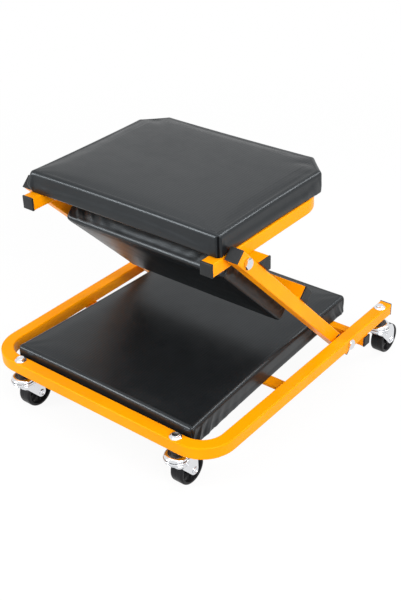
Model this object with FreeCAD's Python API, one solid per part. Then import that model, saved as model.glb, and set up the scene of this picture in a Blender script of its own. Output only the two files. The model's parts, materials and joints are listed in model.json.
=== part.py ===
import FreeCAD
import Part
import math
import os

# Convertible creeper seat, standing folded as a seat.
# Millimetres, +Z up, +Y towards the back, origin on the floor under the middle of the footprint.

Vec = FreeCAD.Vector
X_AXIS = Vec(1, 0, 0)
Y_AXIS = Vec(0, 1, 0)
Z_AXIS = Vec(0, 0, 1)

# Steel sections
TUBE = 20.0              # side of the square frame tube
TUBE_WALL = 1.5
TUBE_ROUND = 2.0         # rounding along the tube's edges
STOP_BAR = 16.0          # side of the smaller square tube under the rails
STOP_BAR_WALL = 1.5
STOP_BAR_ROUND = 1.6
SEAT_STOP_DEPTH = 25.0   # folded bar under the seat tubes, along its top
SEAT_STOP_HEIGHT = 20.0
STRIP_WIDTH = 20.0       # flat bar under the front of the lower pad
STRIP_THICKNESS = 5.0

# Clearances
FIT = 0.1                # a fastener in its hole, a plug in its tube
RUNNING = 0.05           # radial clearance of a turning bore
CLEAR = 0.3              # between pieces that move past each other
OVERRUN = 1.0            # a cutter running past the metal that it cuts

# Base frame, a U of tube with its closed end in front
BASE_WIDTH = 440.0
BASE_LENGTH = 477.0      # front face to the open ends
BASE_BEND = 55.0         # outer radius of the front corners
STRIP_SETBACK = 205.0    # front face to the strip
STRIP_OVERLAP = 10.0     # length of strip under each rail

# Arms and their pivots
PIVOT_INSET = 124.0      # open ends of the rails to the lower pivot
ARM_SPAN = 341.0         # lower pivot to upper pivot
ARM_LEAN = 46.2          # degrees above level, leaning to the front
ARM_TOP = 20.0           # tube past the upper pivot
ARM_TAIL = 54.0          # tube past the lower pivot
WASHER = 3.0             # spacing washers between rail, arm and seat tube
WASHER_DIAMETER = 17.0
CARRIER_PLACE = 160.5    # lower pivot to the middle of the bar that carries the middle pad

# Seat frame, a U of tube with its closed end at the back
SEAT_TAIL = 42.0         # tube in front of the upper pivot
SEAT_REACH = 231.0       # upper pivot to the back face of the closed end
SEAT_BEND = 57.0

# Plastic end caps
CAP = 3.0                # thickness of the visible flange
CAP_PLUG = 12.0          # depth of the plug in the tube
CAP_ROUND = 1.2

# Pads: vinyl over foam on a plywood board
BOARD = 8.0
BOARD_MARGIN = 6.0       # vinyl turned under round the board
PAD_CORNER = 6.0
PAD_TUCK = 3.5           # rolled edge, measured inwards
PAD_ROLL = 6.0           # rolled edge, measured upwards
PAD_CROWN = 3.0          # rise of the top between its edge and its middle
PAD_CROWN_RUN = 60.0     # distance over which the crown rises
PAD_STEPS = 3            # steps in the roll and in the crown
PAD_PULL = 0.008         # inward bow of a side for each unit of its length

LOWER_PAD_GAP = 2.0      # front tube to the lower pad
LOWER_PAD_INSET = 36.0   # open ends of the rails to the lower pad
LOWER_PAD_FRONT = 27.0   # rail to the pad's side, in front
LOWER_PAD_BACK = 44.0    # rail to the pad's side, behind, where the arms pass
LOWER_PAD_THICKNESS = 36.0

MIDDLE_PAD_START = 104.0  # lower pivot to the pad's lower end
MIDDLE_PAD_END = 36.0    # upper pivot to the pad's upper end
MIDDLE_PAD_SIDE = 28.0   # arm to the pad's side
MIDDLE_PAD_THICKNESS = 35.0

SEAT_PAD_LENGTH = 276.5
SEAT_PAD_SIDE = 1.0      # pad's side inwards of the seat tube's outer face
SEAT_PAD_THICKNESS = 37.0
SEAT_PAD_FRONT = 28.5    # pad in front of the upper pivot
SEAT_PAD_CHAMFER = 36.0  # cut across the two back corners

# Pad screws
SCREW = 4.0
SCREW_HEAD = 8.0
SCREW_HEAD_HEIGHT = 2.5
SCREW_BITE = 6.0         # depth in the board
LOWER_SCREW_INSET = 56.0  # narrow end of the lower pad to its screws
MIDDLE_SCREW_INSET = 59.0  # side of the middle pad to its screws
SEAT_SCREW_FRONT = 90.0  # upper pivot to the first pair of seat screws
SEAT_SCREW_PITCH = 65.0
SEAT_SCREW_INSET = 3.0   # inwards of the seat tube's middle, to keep in the board

# Pivot bolts and their lock nuts
PIVOT_BOLT = 8.0
BOLT_FLANGE = 18.0
BOLT_FLANGE_HEIGHT = 1.6
BOLT_FLATS = 11.0
BOLT_HEAD_HEIGHT = 4.5
NUT_FLATS = 13.0
NUT_HEIGHT = 7.0
BOLT_TIP = 1.0           # bolt standing out of its nut

# Swivel casters
WHEEL = 50.0
WHEEL_WIDTH = 22.0
WHEEL_TREAD = 15.0       # flat width of the tread
WHEEL_SHOULDER = 3.0     # drop of the tyre's rounded shoulders
WHEEL_RIM = 40.0         # inner diameter of the rim, where the side is dished
WHEEL_RIM_SET = 0.6      # rim behind the hub's end face
WHEEL_HUB = 17.0
WHEEL_DISH = 4.0         # depth of the dished side
WHEEL_RIBS = 8
WHEEL_RIB = 1.6
WHEEL_RIB_ROOT = 1.0     # rib let into the hub
AXLE = 6.0
AXLE_HEAD = 10.0
AXLE_HEAD_HEIGHT = 1.8
TRAIL = 21.0             # swivel axis to axle
STEM = 8.0               # caster bolt
STEM_RIVET = 15.0        # riveted end that holds the fork
STEM_RIVET_HEIGHT = 2.0
STEM_NUT_FLATS = 15.0
STEM_NUT_HEIGHT = 6.0
STEM_WASHER = 20.0
STEM_WASHER_HEIGHT = 2.0
DISH = 36.0              # diameter of the upper dish of the swivel
DISH_FLAT = 19.0         # diameter of its flat
DISH_WALL = 1.5
DISH_HEIGHT = 6.0
DISH_GAP = 0.5           # between the two dishes
CROWN = 38.0             # diameter of the lower dish, which is the fork's crown
CROWN_FOOT = 32.0
CROWN_GAP = 1.5          # crown to the top of the wheel
BALL_CIRCLE = 26.0
BALL_COUNT = 10
FORK_WALL = 2.5
FORK_GAP = 1.5           # wheel to each leg
FORK_EYE = 14.0          # round end of a leg at the axle
FORK_FRONT = 10.0        # leg in front of the swivel axis, at the crown
FORK_BACK = 12.0         # leg behind the swivel axis, at the crown
FORK_WAIST = 17.0        # height of the leg's vertical back edge above the axle
FORK_SINK = 1.2          # leg let into the crown
FORK_SLOPE = 45.0        # degrees from straight down to where the leg's front edge meets the eye
FRONT_CASTER_INSET = 67.0  # side of the base to the caster
REAR_CASTER_INSET = 19.0  # open end of a rail to the caster
HEAD_CASTER_SPREAD = 100.0

# Heights of the caster, from the tube's underside down
DISH_TOP = -(STEM_NUT_HEIGHT + STEM_WASHER_HEIGHT)
DISH_RIM = DISH_TOP - DISH_HEIGHT
CROWN_RIM = DISH_RIM - DISH_GAP
CROWN_BOTTOM = CROWN_RIM - DISH_HEIGHT
AXLE_DROP = CROWN_BOTTOM - CROWN_GAP - WHEEL / 2
CASTER_HEIGHT = -(AXLE_DROP - WHEEL / 2)

# Widths, from the rails inwards
RAIL_IN = BASE_WIDTH / 2 - TUBE
ARM_OUT = RAIL_IN - WASHER
ARM_IN = ARM_OUT - TUBE
SEAT_OUT = ARM_IN - WASHER
SEAT_IN = SEAT_OUT - TUBE
LOWER_PAD_NARROW = RAIL_IN - LOWER_PAD_BACK
MIDDLE_PAD_HALF = ARM_IN - MIDDLE_PAD_SIDE

# Places along the base, with the footprint centred on the origin
FOOTPRINT_FRONT = (TUBE - CROWN) / 2
FOOTPRINT_BACK = BASE_LENGTH - REAR_CASTER_INSET + TRAIL + WHEEL / 2
FRONT = -(FOOTPRINT_FRONT + FOOTPRINT_BACK) / 2
BACK = FRONT + BASE_LENGTH

# Pivots and stops
LEAN = math.radians(ARM_LEAN)
FOLD = 180.0 - ARM_LEAN
LOWER_PIVOT = Vec(0, BACK - PIVOT_INSET, CASTER_HEIGHT + TUBE / 2 + CLEAR)
UPPER_PIVOT = LOWER_PIVOT + Vec(0, -ARM_SPAN * math.cos(LEAN), ARM_SPAN * math.sin(LEAN))
SEAT_BOTTOM = UPPER_PIVOT.z - TUBE / 2
SEAT_TOP = UPPER_PIVOT.z + TUBE / 2
SEAT_BACK = UPPER_PIVOT.y + SEAT_REACH
HEAD_CASTER_Y = SEAT_BACK - TUBE / 2


def stop_reach(drop):
    """Distance behind a pivot at which a bar, that far down, meets the leaning arm's upper face."""
    return (TUBE / 2 + CLEAR + drop * math.cos(LEAN)) / math.sin(LEAN)


BASE_BAR_Y = LOWER_PIVOT.y + stop_reach(TUBE / 2 + CLEAR + STOP_BAR) + STOP_BAR / 2
BASE_BAR_Z = CASTER_HEIGHT - STOP_BAR / 2
SEAT_STOP_TOP = UPPER_PIVOT.y + stop_reach(TUBE / 2)
SEAT_STOP_FOOT = UPPER_PIVOT.y + stop_reach(TUBE / 2 + SEAT_STOP_HEIGHT)

# The arms and the middle pad are drawn lying flat behind the lower pivot, then raised
FLAT_CARRIER_Y = LOWER_PIVOT.y + CARRIER_PLACE
FLAT_CARRIER_Z = LOWER_PIVOT.z - TUBE
FLAT_PAD_Z = LOWER_PIVOT.z - TUBE / 2


def raised(shape):
    """The shape turned about the lower pivot from the flat bed to the seat."""
    turned = shape.copy()
    turned.rotate(LOWER_PIVOT, X_AXIS, FOLD)
    return turned


def mirrored(shape):
    return shape.mirror(Vec(0, 0, 0), X_AXIS)


def pair(shape):
    """The right-hand shape and its left-hand twin."""
    return [shape, mirrored(shape)]


def group(shapes):
    return Part.makeCompound(shapes)


def box(low, high):
    size = high - low
    return Part.makeBox(size.x, size.y, size.z, low)


def rod(diameter, start, end):
    along = end - start
    return Part.makeCylinder(diameter / 2, along.Length, start, along)


def hexagon(flats, start, end):
    """Hexagonal prism along X or Z between two points."""
    along = end - start
    side_step = Y_AXIS
    up_step = Z_AXIS.cross(Y_AXIS) if abs(along.z) > abs(along.x) else Z_AXIS
    reach = flats / math.sqrt(3)
    corners = []
    sides = 6
    for index in range(sides + 1):
        turn = 2 * math.pi * index / sides
        corners.append(start + side_step * (reach * math.cos(turn)) + up_step * (reach * math.sin(turn)))
    return Part.Face(Part.makePolygon(corners)).extrude(along)


def revolved(points, axis):
    """Ring made by turning a closed outline of points about an axis through the origin."""
    return Part.Face(Part.makePolygon(points + points[:1])).revolve(Vec(0, 0, 0), axis, 360)


def long_edges(shape, direction):
    """Straight edges of a bar that run along it."""
    found = []
    for edge in shape.Edges:
        step = edge.Vertexes[-1].Point - edge.Vertexes[0].Point
        if step.cross(direction).Length < FIT:
            found.append(edge)
    return found


def square_tube(start, end, side, wall, rounding):
    """Straight hollow square tube between two points on its middle line, along X or Y."""
    along = end - start
    across = Vec(side, side, side) / 2
    direction = Vec(along).normalize()
    across -= direction * across.dot(direction)
    solid = box(start - across, end + across)
    solid = solid.makeFillet(rounding, long_edges(solid, direction))
    hollow = across * (1 - 2 * wall / side)
    past = direction * OVERRUN
    return solid.cut(box(start - hollow - past, end + hollow + past))


def end_cap(mouth, outwards, side, wall):
    """Plastic cap: a flange over the tube's mouth and a plug inside the tube."""
    across = Vec(side, side, side) / 2
    across -= Vec(abs(outwards.x), abs(outwards.y), abs(outwards.z)) * (side / 2)
    inner = across * (1 - 2 * (wall + FIT) / side)
    tip = mouth + outwards * CAP
    flange = spanned(mouth, tip, across)
    outer_face = [edge for edge in flange.Edges if abs((edge.CenterOfMass - tip).dot(outwards)) < FIT]
    flange = flange.makeFillet(CAP_ROUND, outer_face)
    plug = spanned(mouth - outwards * CAP_PLUG, mouth, inner)
    return flange.fuse(plug).removeSplitter()


def spanned(start, end, across):
    """Box between two points on its middle line with a half section to each side."""
    low = Vec(min(start.x, end.x), min(start.y, end.y), min(start.z, end.z)) - across
    high = Vec(max(start.x, end.x), max(start.y, end.y), max(start.z, end.z)) + across
    return box(low, high)


def u_prism(half, closed, opened, radius, bottom, top):
    """Upright prism over a U outline: two round corners at the closed end, square at the open end."""
    turn = math.copysign(1, opened - closed)
    bend = closed + turn * radius
    inner = half - radius
    slack = radius * math.sqrt(0.5)
    points = [
        Vec(-half, opened, bottom),
        Vec(-half, bend, bottom),
        Vec(-inner, closed, bottom),
        Vec(inner, closed, bottom),
        Vec(half, bend, bottom),
        Vec(half, opened, bottom),
    ]
    left = Vec(-inner - slack, bend - turn * slack, bottom)
    right = Vec(inner + slack, bend - turn * slack, bottom)
    edges = [
        Part.LineSegment(points[0], points[1]).toShape(),
        Part.Arc(points[1], left, points[2]).toShape(),
        Part.LineSegment(points[2], points[3]).toShape(),
        Part.Arc(points[3], right, points[4]).toShape(),
        Part.LineSegment(points[4], points[5]).toShape(),
        Part.LineSegment(points[5], points[0]).toShape(),
    ]
    return Part.Face(Part.Wire(edges)).extrude(Vec(0, 0, top - bottom))


def u_band(half, closed, opened, radius, inset, width, bottom, top):
    """U-shaped bar: the band between two U outlines, the outer one set in by an inset."""
    turn = math.copysign(1, opened - closed)
    inner = inset + width
    past = opened + turn * OVERRUN
    outside = u_prism(half - inset, closed + turn * inset, opened, radius - inset, bottom, top)
    inside = u_prism(half - inner, closed + turn * inner, past, radius - inner, bottom, top)
    return outside.cut(inside)


def u_frame(half, closed, opened, radius, bottom):
    """Hollow square tube bent to a U, lying level."""
    top = bottom + TUBE
    past = opened + math.copysign(OVERRUN, opened - closed)
    bar = u_band(half, closed, opened, radius, 0.0, TUBE, bottom, top)
    rims = []
    for edge in bar.Edges:
        middle = edge.CenterOfMass
        level = min(abs(middle.z - bottom), abs(middle.z - top)) < FIT
        if level and abs(middle.y - opened) > FIT:
            rims.append(edge)
    bar = bar.makeFillet(TUBE_ROUND, rims)
    bore = TUBE - 2 * TUBE_WALL
    hollow = u_band(half, closed, past, radius, TUBE_WALL, bore, bottom + TUBE_WALL, top - TUBE_WALL)
    return bar.cut(hollow)


def flanged_bolt(diameter, seat, tip, flats):
    """Bolt whose flanged hexagon head stands on the seat, with its shank to the tip."""
    outwards = (seat - tip).normalize()
    rim = seat + outwards * BOLT_FLANGE_HEIGHT
    crown = rim + outwards * (BOLT_HEAD_HEIGHT - BOLT_FLANGE_HEIGHT)
    flange = rod(BOLT_FLANGE, seat, rim)
    return flange.fuse([hexagon(flats, rim, crown), rod(diameter, tip, seat)]).removeSplitter()


def hex_nut(diameter, flats, start, end):
    return hexagon(flats, start, end).cut(rod(diameter + 2 * FIT, start, end))


def ring(outer, bore, start, end):
    return rod(outer, start, end).cut(rod(bore, start, end))


def wood_screw(x, y, seat, tip):
    """Pan-head screw driven upwards: head under the seat, tip in the board."""
    head = rod(SCREW_HEAD, Vec(x, y, seat - SCREW_HEAD_HEIGHT), Vec(x, y, seat))
    return head.fuse(rod(SCREW, Vec(x, y, seat), Vec(x, y, tip))).removeSplitter()


def screw_hole(x, y, low, high):
    return rod(SCREW + 2 * FIT, Vec(x, y, low), Vec(x, y, high))


def shrunk(corners, inset):
    """Corners drawn towards the outline's middle, by the inset across its narrower way."""
    low = Vec(min(point.x for point in corners), min(point.y for point in corners), 0)
    high = Vec(max(point.x for point in corners), max(point.y for point in corners), 0)
    middle = (low + high) / 2
    share = 1 - inset / min(high.x - middle.x, high.y - middle.y)
    return [middle + (point - middle) * share for point in corners]


def pad_outline(corners, inset, height):
    """Level outline of a pad: sides bowed inwards between rounded corners."""
    points = shrunk(corners, inset)
    count = len(points)
    starts = []
    ends = []
    turns = []
    for index in range(count):
        here = points[index]
        before = (here - points[index - 1]).normalize()
        after = (points[(index + 1) % count] - here).normalize()
        half_angle = math.acos(max(-1.0, min(1.0, -before.dot(after)))) / 2
        reach = PAD_CORNER / math.tan(half_angle)
        bisector = (after - before).normalize()
        starts.append(here - before * reach)
        ends.append(here + after * reach)
        turns.append(here + bisector * (PAD_CORNER / math.sin(half_angle) - PAD_CORNER))
    edges = []
    for index in range(count):
        edges.append(Part.Arc(starts[index], turns[index], ends[index]).toShape())
        leave = ends[index]
        arrive = starts[(index + 1) % count]
        side = arrive - leave
        bow = Z_AXIS.cross(side) * PAD_PULL
        edges.append(Part.Arc(leave, leave + side / 2 + bow, arrive).toShape())
    outline = Part.Wire(edges)
    outline.translate(Vec(0, 0, height))
    return outline


def pad_profile(thickness):
    """Heights and insets up a pad: lower roll, upright side, a quarter-round roll, then the crown."""
    shoulder = thickness - PAD_CROWN
    steps = [index / PAD_STEPS for index in range(PAD_STEPS + 1)]
    profile = [(0.0, PAD_TUCK), (PAD_ROLL, 0.0)]
    for step in steps:
        turn = step * math.pi / 2
        height = shoulder - PAD_ROLL + PAD_ROLL * math.sin(turn)
        profile.append((height, PAD_TUCK * (1 - math.cos(turn))))
    for step in steps[1:]:
        height = shoulder + PAD_CROWN * (1 - (1 - step) ** 2)
        profile.append((height, PAD_TUCK + (PAD_CROWN_RUN - PAD_TUCK) * step))
    return profile


def cushion(corners, bottom, thickness):
    """Crowned pad with rolled edges, standing on its flat underside."""
    outlines = [pad_outline(corners, inset, bottom + height) for height, inset in pad_profile(thickness)]
    return Part.makeLoft(outlines, True, True)


def board(corners, bottom, slack):
    """Plywood board inside a pad, with its underside flush with the pad's."""
    points = shrunk(corners, BOARD_MARGIN - slack)
    loop = [Vec(point.x, point.y, bottom) for point in points]
    return Part.Face(Part.makePolygon(loop + loop[:1])).extrude(Vec(0, 0, BOARD + slack))


def pad_and_board(corners, bottom, thickness, screws):
    """A pad with the pocket for its board, and the board with its screw holes."""
    pad = cushion(corners, bottom, thickness).cut(board(corners, bottom, FIT))
    plate = board(corners, bottom, 0.0)
    for x, y in screws:
        plate = plate.cut(screw_hole(x, y, bottom, bottom + SCREW_BITE + FIT))
    return pad, plate


def dish():
    """Upper dish of the swivel, open downwards, fixed to the caster bolt."""
    bore = STEM / 2 + FIT
    points = [
        Vec(bore, 0, DISH_TOP),
        Vec(DISH_FLAT / 2, 0, DISH_TOP),
        Vec(DISH / 2, 0, DISH_RIM + DISH_WALL),
        Vec(DISH / 2, 0, DISH_RIM),
        Vec(DISH / 2 - DISH_WALL, 0, DISH_RIM),
        Vec(DISH_FLAT / 2, 0, DISH_TOP - DISH_WALL),
        Vec(bore, 0, DISH_TOP - DISH_WALL),
    ]
    return revolved(points, Z_AXIS)


def crown():
    """Lower dish of the swivel, open upwards: the top of the fork, which turns on the caster bolt."""
    bore = STEM / 2 + RUNNING
    points = [
        Vec(bore, 0, CROWN_BOTTOM),
        Vec(CROWN_FOOT / 2, 0, CROWN_BOTTOM),
        Vec(CROWN / 2, 0, (CROWN_BOTTOM + CROWN_RIM) / 2),
        Vec(CROWN / 2, 0, CROWN_RIM),
        Vec(DISH / 2 - DISH_WALL, 0, CROWN_RIM),
        Vec(DISH_FLAT / 2, 0, CROWN_BOTTOM + DISH_WALL),
        Vec(bore, 0, CROWN_BOTTOM + DISH_WALL),
    ]
    return revolved(points, Z_AXIS)


def balls():
    """Ring of bearing balls between the two dishes, just free of both."""
    slope = math.atan2(DISH_HEIGHT - DISH_WALL, DISH / 2 - DISH_WALL - DISH_FLAT / 2)
    drop = (BALL_CIRCLE - DISH_FLAT) / 2 * math.tan(slope)
    level = (DISH_TOP + CROWN_BOTTOM) / 2
    room = DISH_TOP - DISH_WALL - drop - level
    radius = room * math.cos(slope) - FIT
    ring_of_balls = []
    for index in range(BALL_COUNT):
        turn = 2 * math.pi * index / BALL_COUNT
        place = Vec(BALL_CIRCLE / 2 * math.cos(turn), BALL_CIRCLE / 2 * math.sin(turn), level)
        ring_of_balls.append(Part.makeSphere(radius, place))
    return ring_of_balls


def fork_leg():
    """Right-hand leg: broad at the crown, upright at the back, round at the axle."""
    inner = WHEEL_WIDTH / 2 + FORK_GAP
    eye = FORK_EYE / 2
    top = CROWN_BOTTOM + FORK_SINK
    back_corner = Vec(inner, TRAIL + eye, AXLE_DROP + FORK_WAIST)
    slope = math.radians(FORK_SLOPE)
    under_front = Vec(inner, TRAIL - eye * math.sin(slope), AXLE_DROP - eye * math.cos(slope))
    under = Vec(inner, TRAIL + eye * math.sin(slope / 2), AXLE_DROP - eye * math.cos(slope / 2))
    behind = Vec(inner, TRAIL + eye, AXLE_DROP)
    points = [
        behind,
        back_corner,
        Vec(inner, FORK_BACK, top),
        Vec(inner, -FORK_FRONT, top),
        Vec(inner, -FORK_FRONT, CROWN_BOTTOM - FORK_SINK),
        under_front,
    ]
    edges = [Part.LineSegment(a, b).toShape() for a, b in zip(points, points[1:])]
    edges.append(Part.Arc(under_front, under, behind).toShape())
    return Part.Face(Part.Wire(edges)).extrude(X_AXIS * FORK_WALL)


def fork():
    leg = fork_leg()
    outer = Vec(WHEEL_WIDTH / 2 + FORK_GAP + FORK_WALL, TRAIL, AXLE_DROP)
    eye_bore = rod(AXLE + 2 * FIT, Vec(-outer.x, outer.y, outer.z), outer)
    return crown().fuse(pair(leg)).removeSplitter().cut(eye_bore)


def axle():
    """Rivet through both legs and the wheel."""
    outer = WHEEL_WIDTH / 2 + FORK_GAP + FORK_WALL
    middle = Vec(0, TRAIL, AXLE_DROP)
    pin = rod(AXLE, middle - X_AXIS * outer, middle + X_AXIS * outer)
    head = rod(AXLE_HEAD, middle + X_AXIS * outer, middle + X_AXIS * (outer + AXLE_HEAD_HEIGHT))
    far_head = rod(AXLE_HEAD, middle - X_AXIS * (outer + AXLE_HEAD_HEIGHT), middle - X_AXIS * outer)
    return pin.fuse([head, far_head]).removeSplitter()


def wheel_outline():
    """Half section of the wheel in the XZ plane, from the bore to the tread and back."""
    bore = AXLE / 2 + RUNNING
    side = WHEEL_WIDTH / 2
    rim = side - WHEEL_RIM_SET
    web = side - WHEEL_DISH
    shoulder = WHEEL / 2 - WHEEL_SHOULDER
    right = [
        Vec(side, 0, bore),
        Vec(side, 0, WHEEL_HUB / 2),
        Vec(web, 0, WHEEL_HUB / 2 + FIT),
        Vec(web, 0, WHEEL_RIM / 2 - FIT),
        Vec(rim, 0, WHEEL_RIM / 2),
        Vec(rim, 0, shoulder),
    ]
    tread_end = Vec(WHEEL_TREAD / 2, 0, WHEEL / 2)
    run = rim - tread_end.x
    bulge = Vec(tread_end.x + run * math.sqrt(0.5), 0, shoulder + WHEEL_SHOULDER * math.sqrt(0.5))
    left = [Vec(-point.x, 0, point.z) for point in right]
    left_end = Vec(-tread_end.x, 0, tread_end.z)
    left_bulge = Vec(-bulge.x, 0, bulge.z)
    edges = [Part.LineSegment(a, b).toShape() for a, b in zip(right, right[1:])]
    edges.append(Part.Arc(right[-1], bulge, tread_end).toShape())
    edges.append(Part.LineSegment(tread_end, left_end).toShape())
    edges.append(Part.Arc(left_end, left_bulge, left[-1]).toShape())
    edges += [Part.LineSegment(b, a).toShape() for a, b in zip(left, left[1:])][::-1]
    edges.append(Part.LineSegment(left[0], right[0]).toShape())
    return Part.Wire(edges)


def wheel():
    """Solid wheel with dished sides, stiffened by ribs between hub and rim."""
    solid = Part.Face(wheel_outline()).revolve(Vec(0, 0, 0), X_AXIS, 360)
    side = WHEEL_WIDTH / 2 - WHEEL_RIM_SET - FIT
    hub = WHEEL_HUB / 2 - WHEEL_RIB_ROOT
    reach = WHEEL_RIM / 2 + FIT
    ribs = []
    for index in range(WHEEL_RIBS):
        rib = box(Vec(-side, -WHEEL_RIB / 2, hub), Vec(side, WHEEL_RIB / 2, reach))
        rib.rotate(Vec(0, 0, 0), X_AXIS, 360.0 * index / WHEEL_RIBS)
        ribs.append(rib)
    solid = solid.fuse(ribs).removeSplitter()
    solid.translate(Vec(0, TRAIL, AXLE_DROP))
    return solid


def caster_bolt(tip_up):
    """Bolt that holds a caster, riveted under the crown; a plain stem where it stops inside the tube."""
    rivet_top = CROWN_BOTTOM - CLEAR
    rivet = rod(STEM_RIVET, Vec(0, 0, rivet_top - STEM_RIVET_HEIGHT), Vec(0, 0, rivet_top))
    foot = Vec(0, 0, rivet_top)
    if tip_up < TUBE:
        return rod(STEM, foot, Vec(0, 0, tip_up)).fuse(rivet).removeSplitter()
    return flanged_bolt(STEM, Vec(0, 0, tip_up), foot, BOLT_FLATS).fuse(rivet).removeSplitter()


def caster_nut():
    """Black flanged nut between the tube and the upper dish."""
    flange_top = DISH_TOP + STEM_WASHER_HEIGHT
    flange = rod(STEM_WASHER, Vec(0, 0, DISH_TOP), Vec(0, 0, flange_top))
    nut = flange.fuse(hexagon(STEM_NUT_FLATS, Vec(0, 0, flange_top), Vec(0, 0, 0))).removeSplitter()
    return nut.cut(rod(STEM + 2 * FIT, Vec(0, 0, DISH_TOP), Vec(0, 0, 0)))


def placed(shape, place):
    copy = shape.copy()
    copy.translate(place)
    return copy


def caster_places():
    """Where each caster meets its tube's underside."""
    front = FRONT + TUBE / 2
    rear = BACK - REAR_CASTER_INSET
    rail = BASE_WIDTH / 2 - TUBE / 2
    near = BASE_WIDTH / 2 - FRONT_CASTER_INSET
    return {
        "front_left": Vec(-near, front, CASTER_HEIGHT),
        "front_right": Vec(near, front, CASTER_HEIGHT),
        "rear_left": Vec(-rail, rear, CASTER_HEIGHT),
        "rear_right": Vec(rail, rear, CASTER_HEIGHT),
        "head_left": Vec(-HEAD_CASTER_SPREAD / 2, HEAD_CASTER_Y, SEAT_BOTTOM),
        "head_right": Vec(HEAD_CASTER_SPREAD / 2, HEAD_CASTER_Y, SEAT_BOTTOM),
    }


def caster_nodes(nodes):
    """Forks, axles and wheels one by one; the fixed pieces in groups for the base and for the seat."""
    shapes = {"fork": fork(), "axle": axle(), "wheel": wheel()}
    fixed = {"bolts": [], "nuts": [], "dishes": [], "balls": []}
    head_fixed = {"bolts": [], "nuts": [], "dishes": [], "balls": [], "inserts": []}
    for name, place in caster_places().items():
        at_head = name.startswith("head")
        kept = head_fixed if at_head else fixed
        top = TUBE - 2 * TUBE_WALL if at_head else TUBE
        kept["bolts"].append(placed(caster_bolt(top), place))
        kept["nuts"].append(placed(caster_nut(), place))
        kept["dishes"].append(placed(dish(), place))
        kept["balls"] += [placed(ball, place) for ball in balls()]
        if at_head:
            low = Vec(0, 0, TUBE_WALL)
            insert = ring(STEM_NUT_FLATS, STEM + 2 * FIT, low, Vec(0, 0, top))
            kept["inserts"].append(placed(insert, place))
        for part, shape in shapes.items():
            nodes[f"{name}_{part}"] = placed(shape, place)
    for part, solids in fixed.items():
        nodes[f"base_caster_{part}"] = group(solids)
    for part, solids in head_fixed.items():
        nodes[f"head_caster_{part}"] = group(solids)


def lower_pad_corners():
    front = FRONT + TUBE + LOWER_PAD_GAP
    back = BACK - LOWER_PAD_INSET
    wide = RAIL_IN - LOWER_PAD_FRONT
    return [
        Vec(-wide, front, 0),
        Vec(wide, front, 0),
        Vec(LOWER_PAD_NARROW, back, 0),
        Vec(-LOWER_PAD_NARROW, back, 0),
    ]


def middle_pad_corners():
    near = LOWER_PIVOT.y + MIDDLE_PAD_START
    far = LOWER_PIVOT.y + ARM_SPAN - MIDDLE_PAD_END
    half = MIDDLE_PAD_HALF
    return [Vec(-half, near, 0), Vec(half, near, 0), Vec(half, far, 0), Vec(-half, far, 0)]


def seat_pad_corners():
    front = UPPER_PIVOT.y - SEAT_PAD_FRONT
    back = front + SEAT_PAD_LENGTH
    half = SEAT_OUT - SEAT_PAD_SIDE
    cut = SEAT_PAD_CHAMFER
    return [
        Vec(-half, front, 0),
        Vec(half, front, 0),
        Vec(half, back - cut, 0),
        Vec(half - cut, back, 0),
        Vec(-half + cut, back, 0),
        Vec(-half, back - cut, 0),
    ]


def cross_bar(half, y, z, side, wall, rounding, screws):
    """Cross tube with the holes for the screws that go up through it."""
    bar = square_tube(Vec(-half, y, z), Vec(half, y, z), side, wall, rounding)
    for x, place in screws:
        bar = bar.cut(screw_hole(x, place, z - side, z + side))
    return bar


def bar_caps(half, y, z, side, wall):
    return pair(end_cap(Vec(half, y, z), X_AXIS, side, wall))


def seat_stop_section(x):
    """Section of the seat's stop at one place along X: its slanted front lies along the arms."""
    back = SEAT_STOP_TOP + SEAT_STOP_DEPTH
    bottom = SEAT_BOTTOM - SEAT_STOP_HEIGHT
    corners = [
        Vec(x, SEAT_STOP_TOP, SEAT_BOTTOM),
        Vec(x, back, SEAT_BOTTOM),
        Vec(x, back, bottom),
        Vec(x, SEAT_STOP_FOOT, bottom),
    ]
    return Part.Face(Part.makePolygon(corners + corners[:1]))


def seat_stop():
    """Folded hollow bar that rests on both arms."""
    solid = seat_stop_section(-ARM_OUT).extrude(X_AXIS * (2 * ARM_OUT))
    solid = solid.makeFillet(STOP_BAR_ROUND, long_edges(solid, X_AXIS))
    past = ARM_OUT + OVERRUN
    hollow = seat_stop_section(-past).makeOffset2D(-STOP_BAR_WALL)
    return solid.cut(hollow.extrude(X_AXIS * (2 * past)))


def seat_stop_cap():
    """Plastic cap of the stop: a flange over its right end and a plug inside it."""
    flange = seat_stop_section(ARM_OUT).extrude(X_AXIS * CAP)
    outer_face = [edge for edge in flange.Edges if abs(edge.CenterOfMass.x - ARM_OUT - CAP) < FIT]
    flange = flange.makeFillet(CAP_ROUND, outer_face)
    mouth = seat_stop_section(ARM_OUT - CAP_PLUG).makeOffset2D(-STOP_BAR_WALL - FIT)
    return flange.fuse(mouth.extrude(X_AXIS * CAP_PLUG)).removeSplitter()


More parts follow.
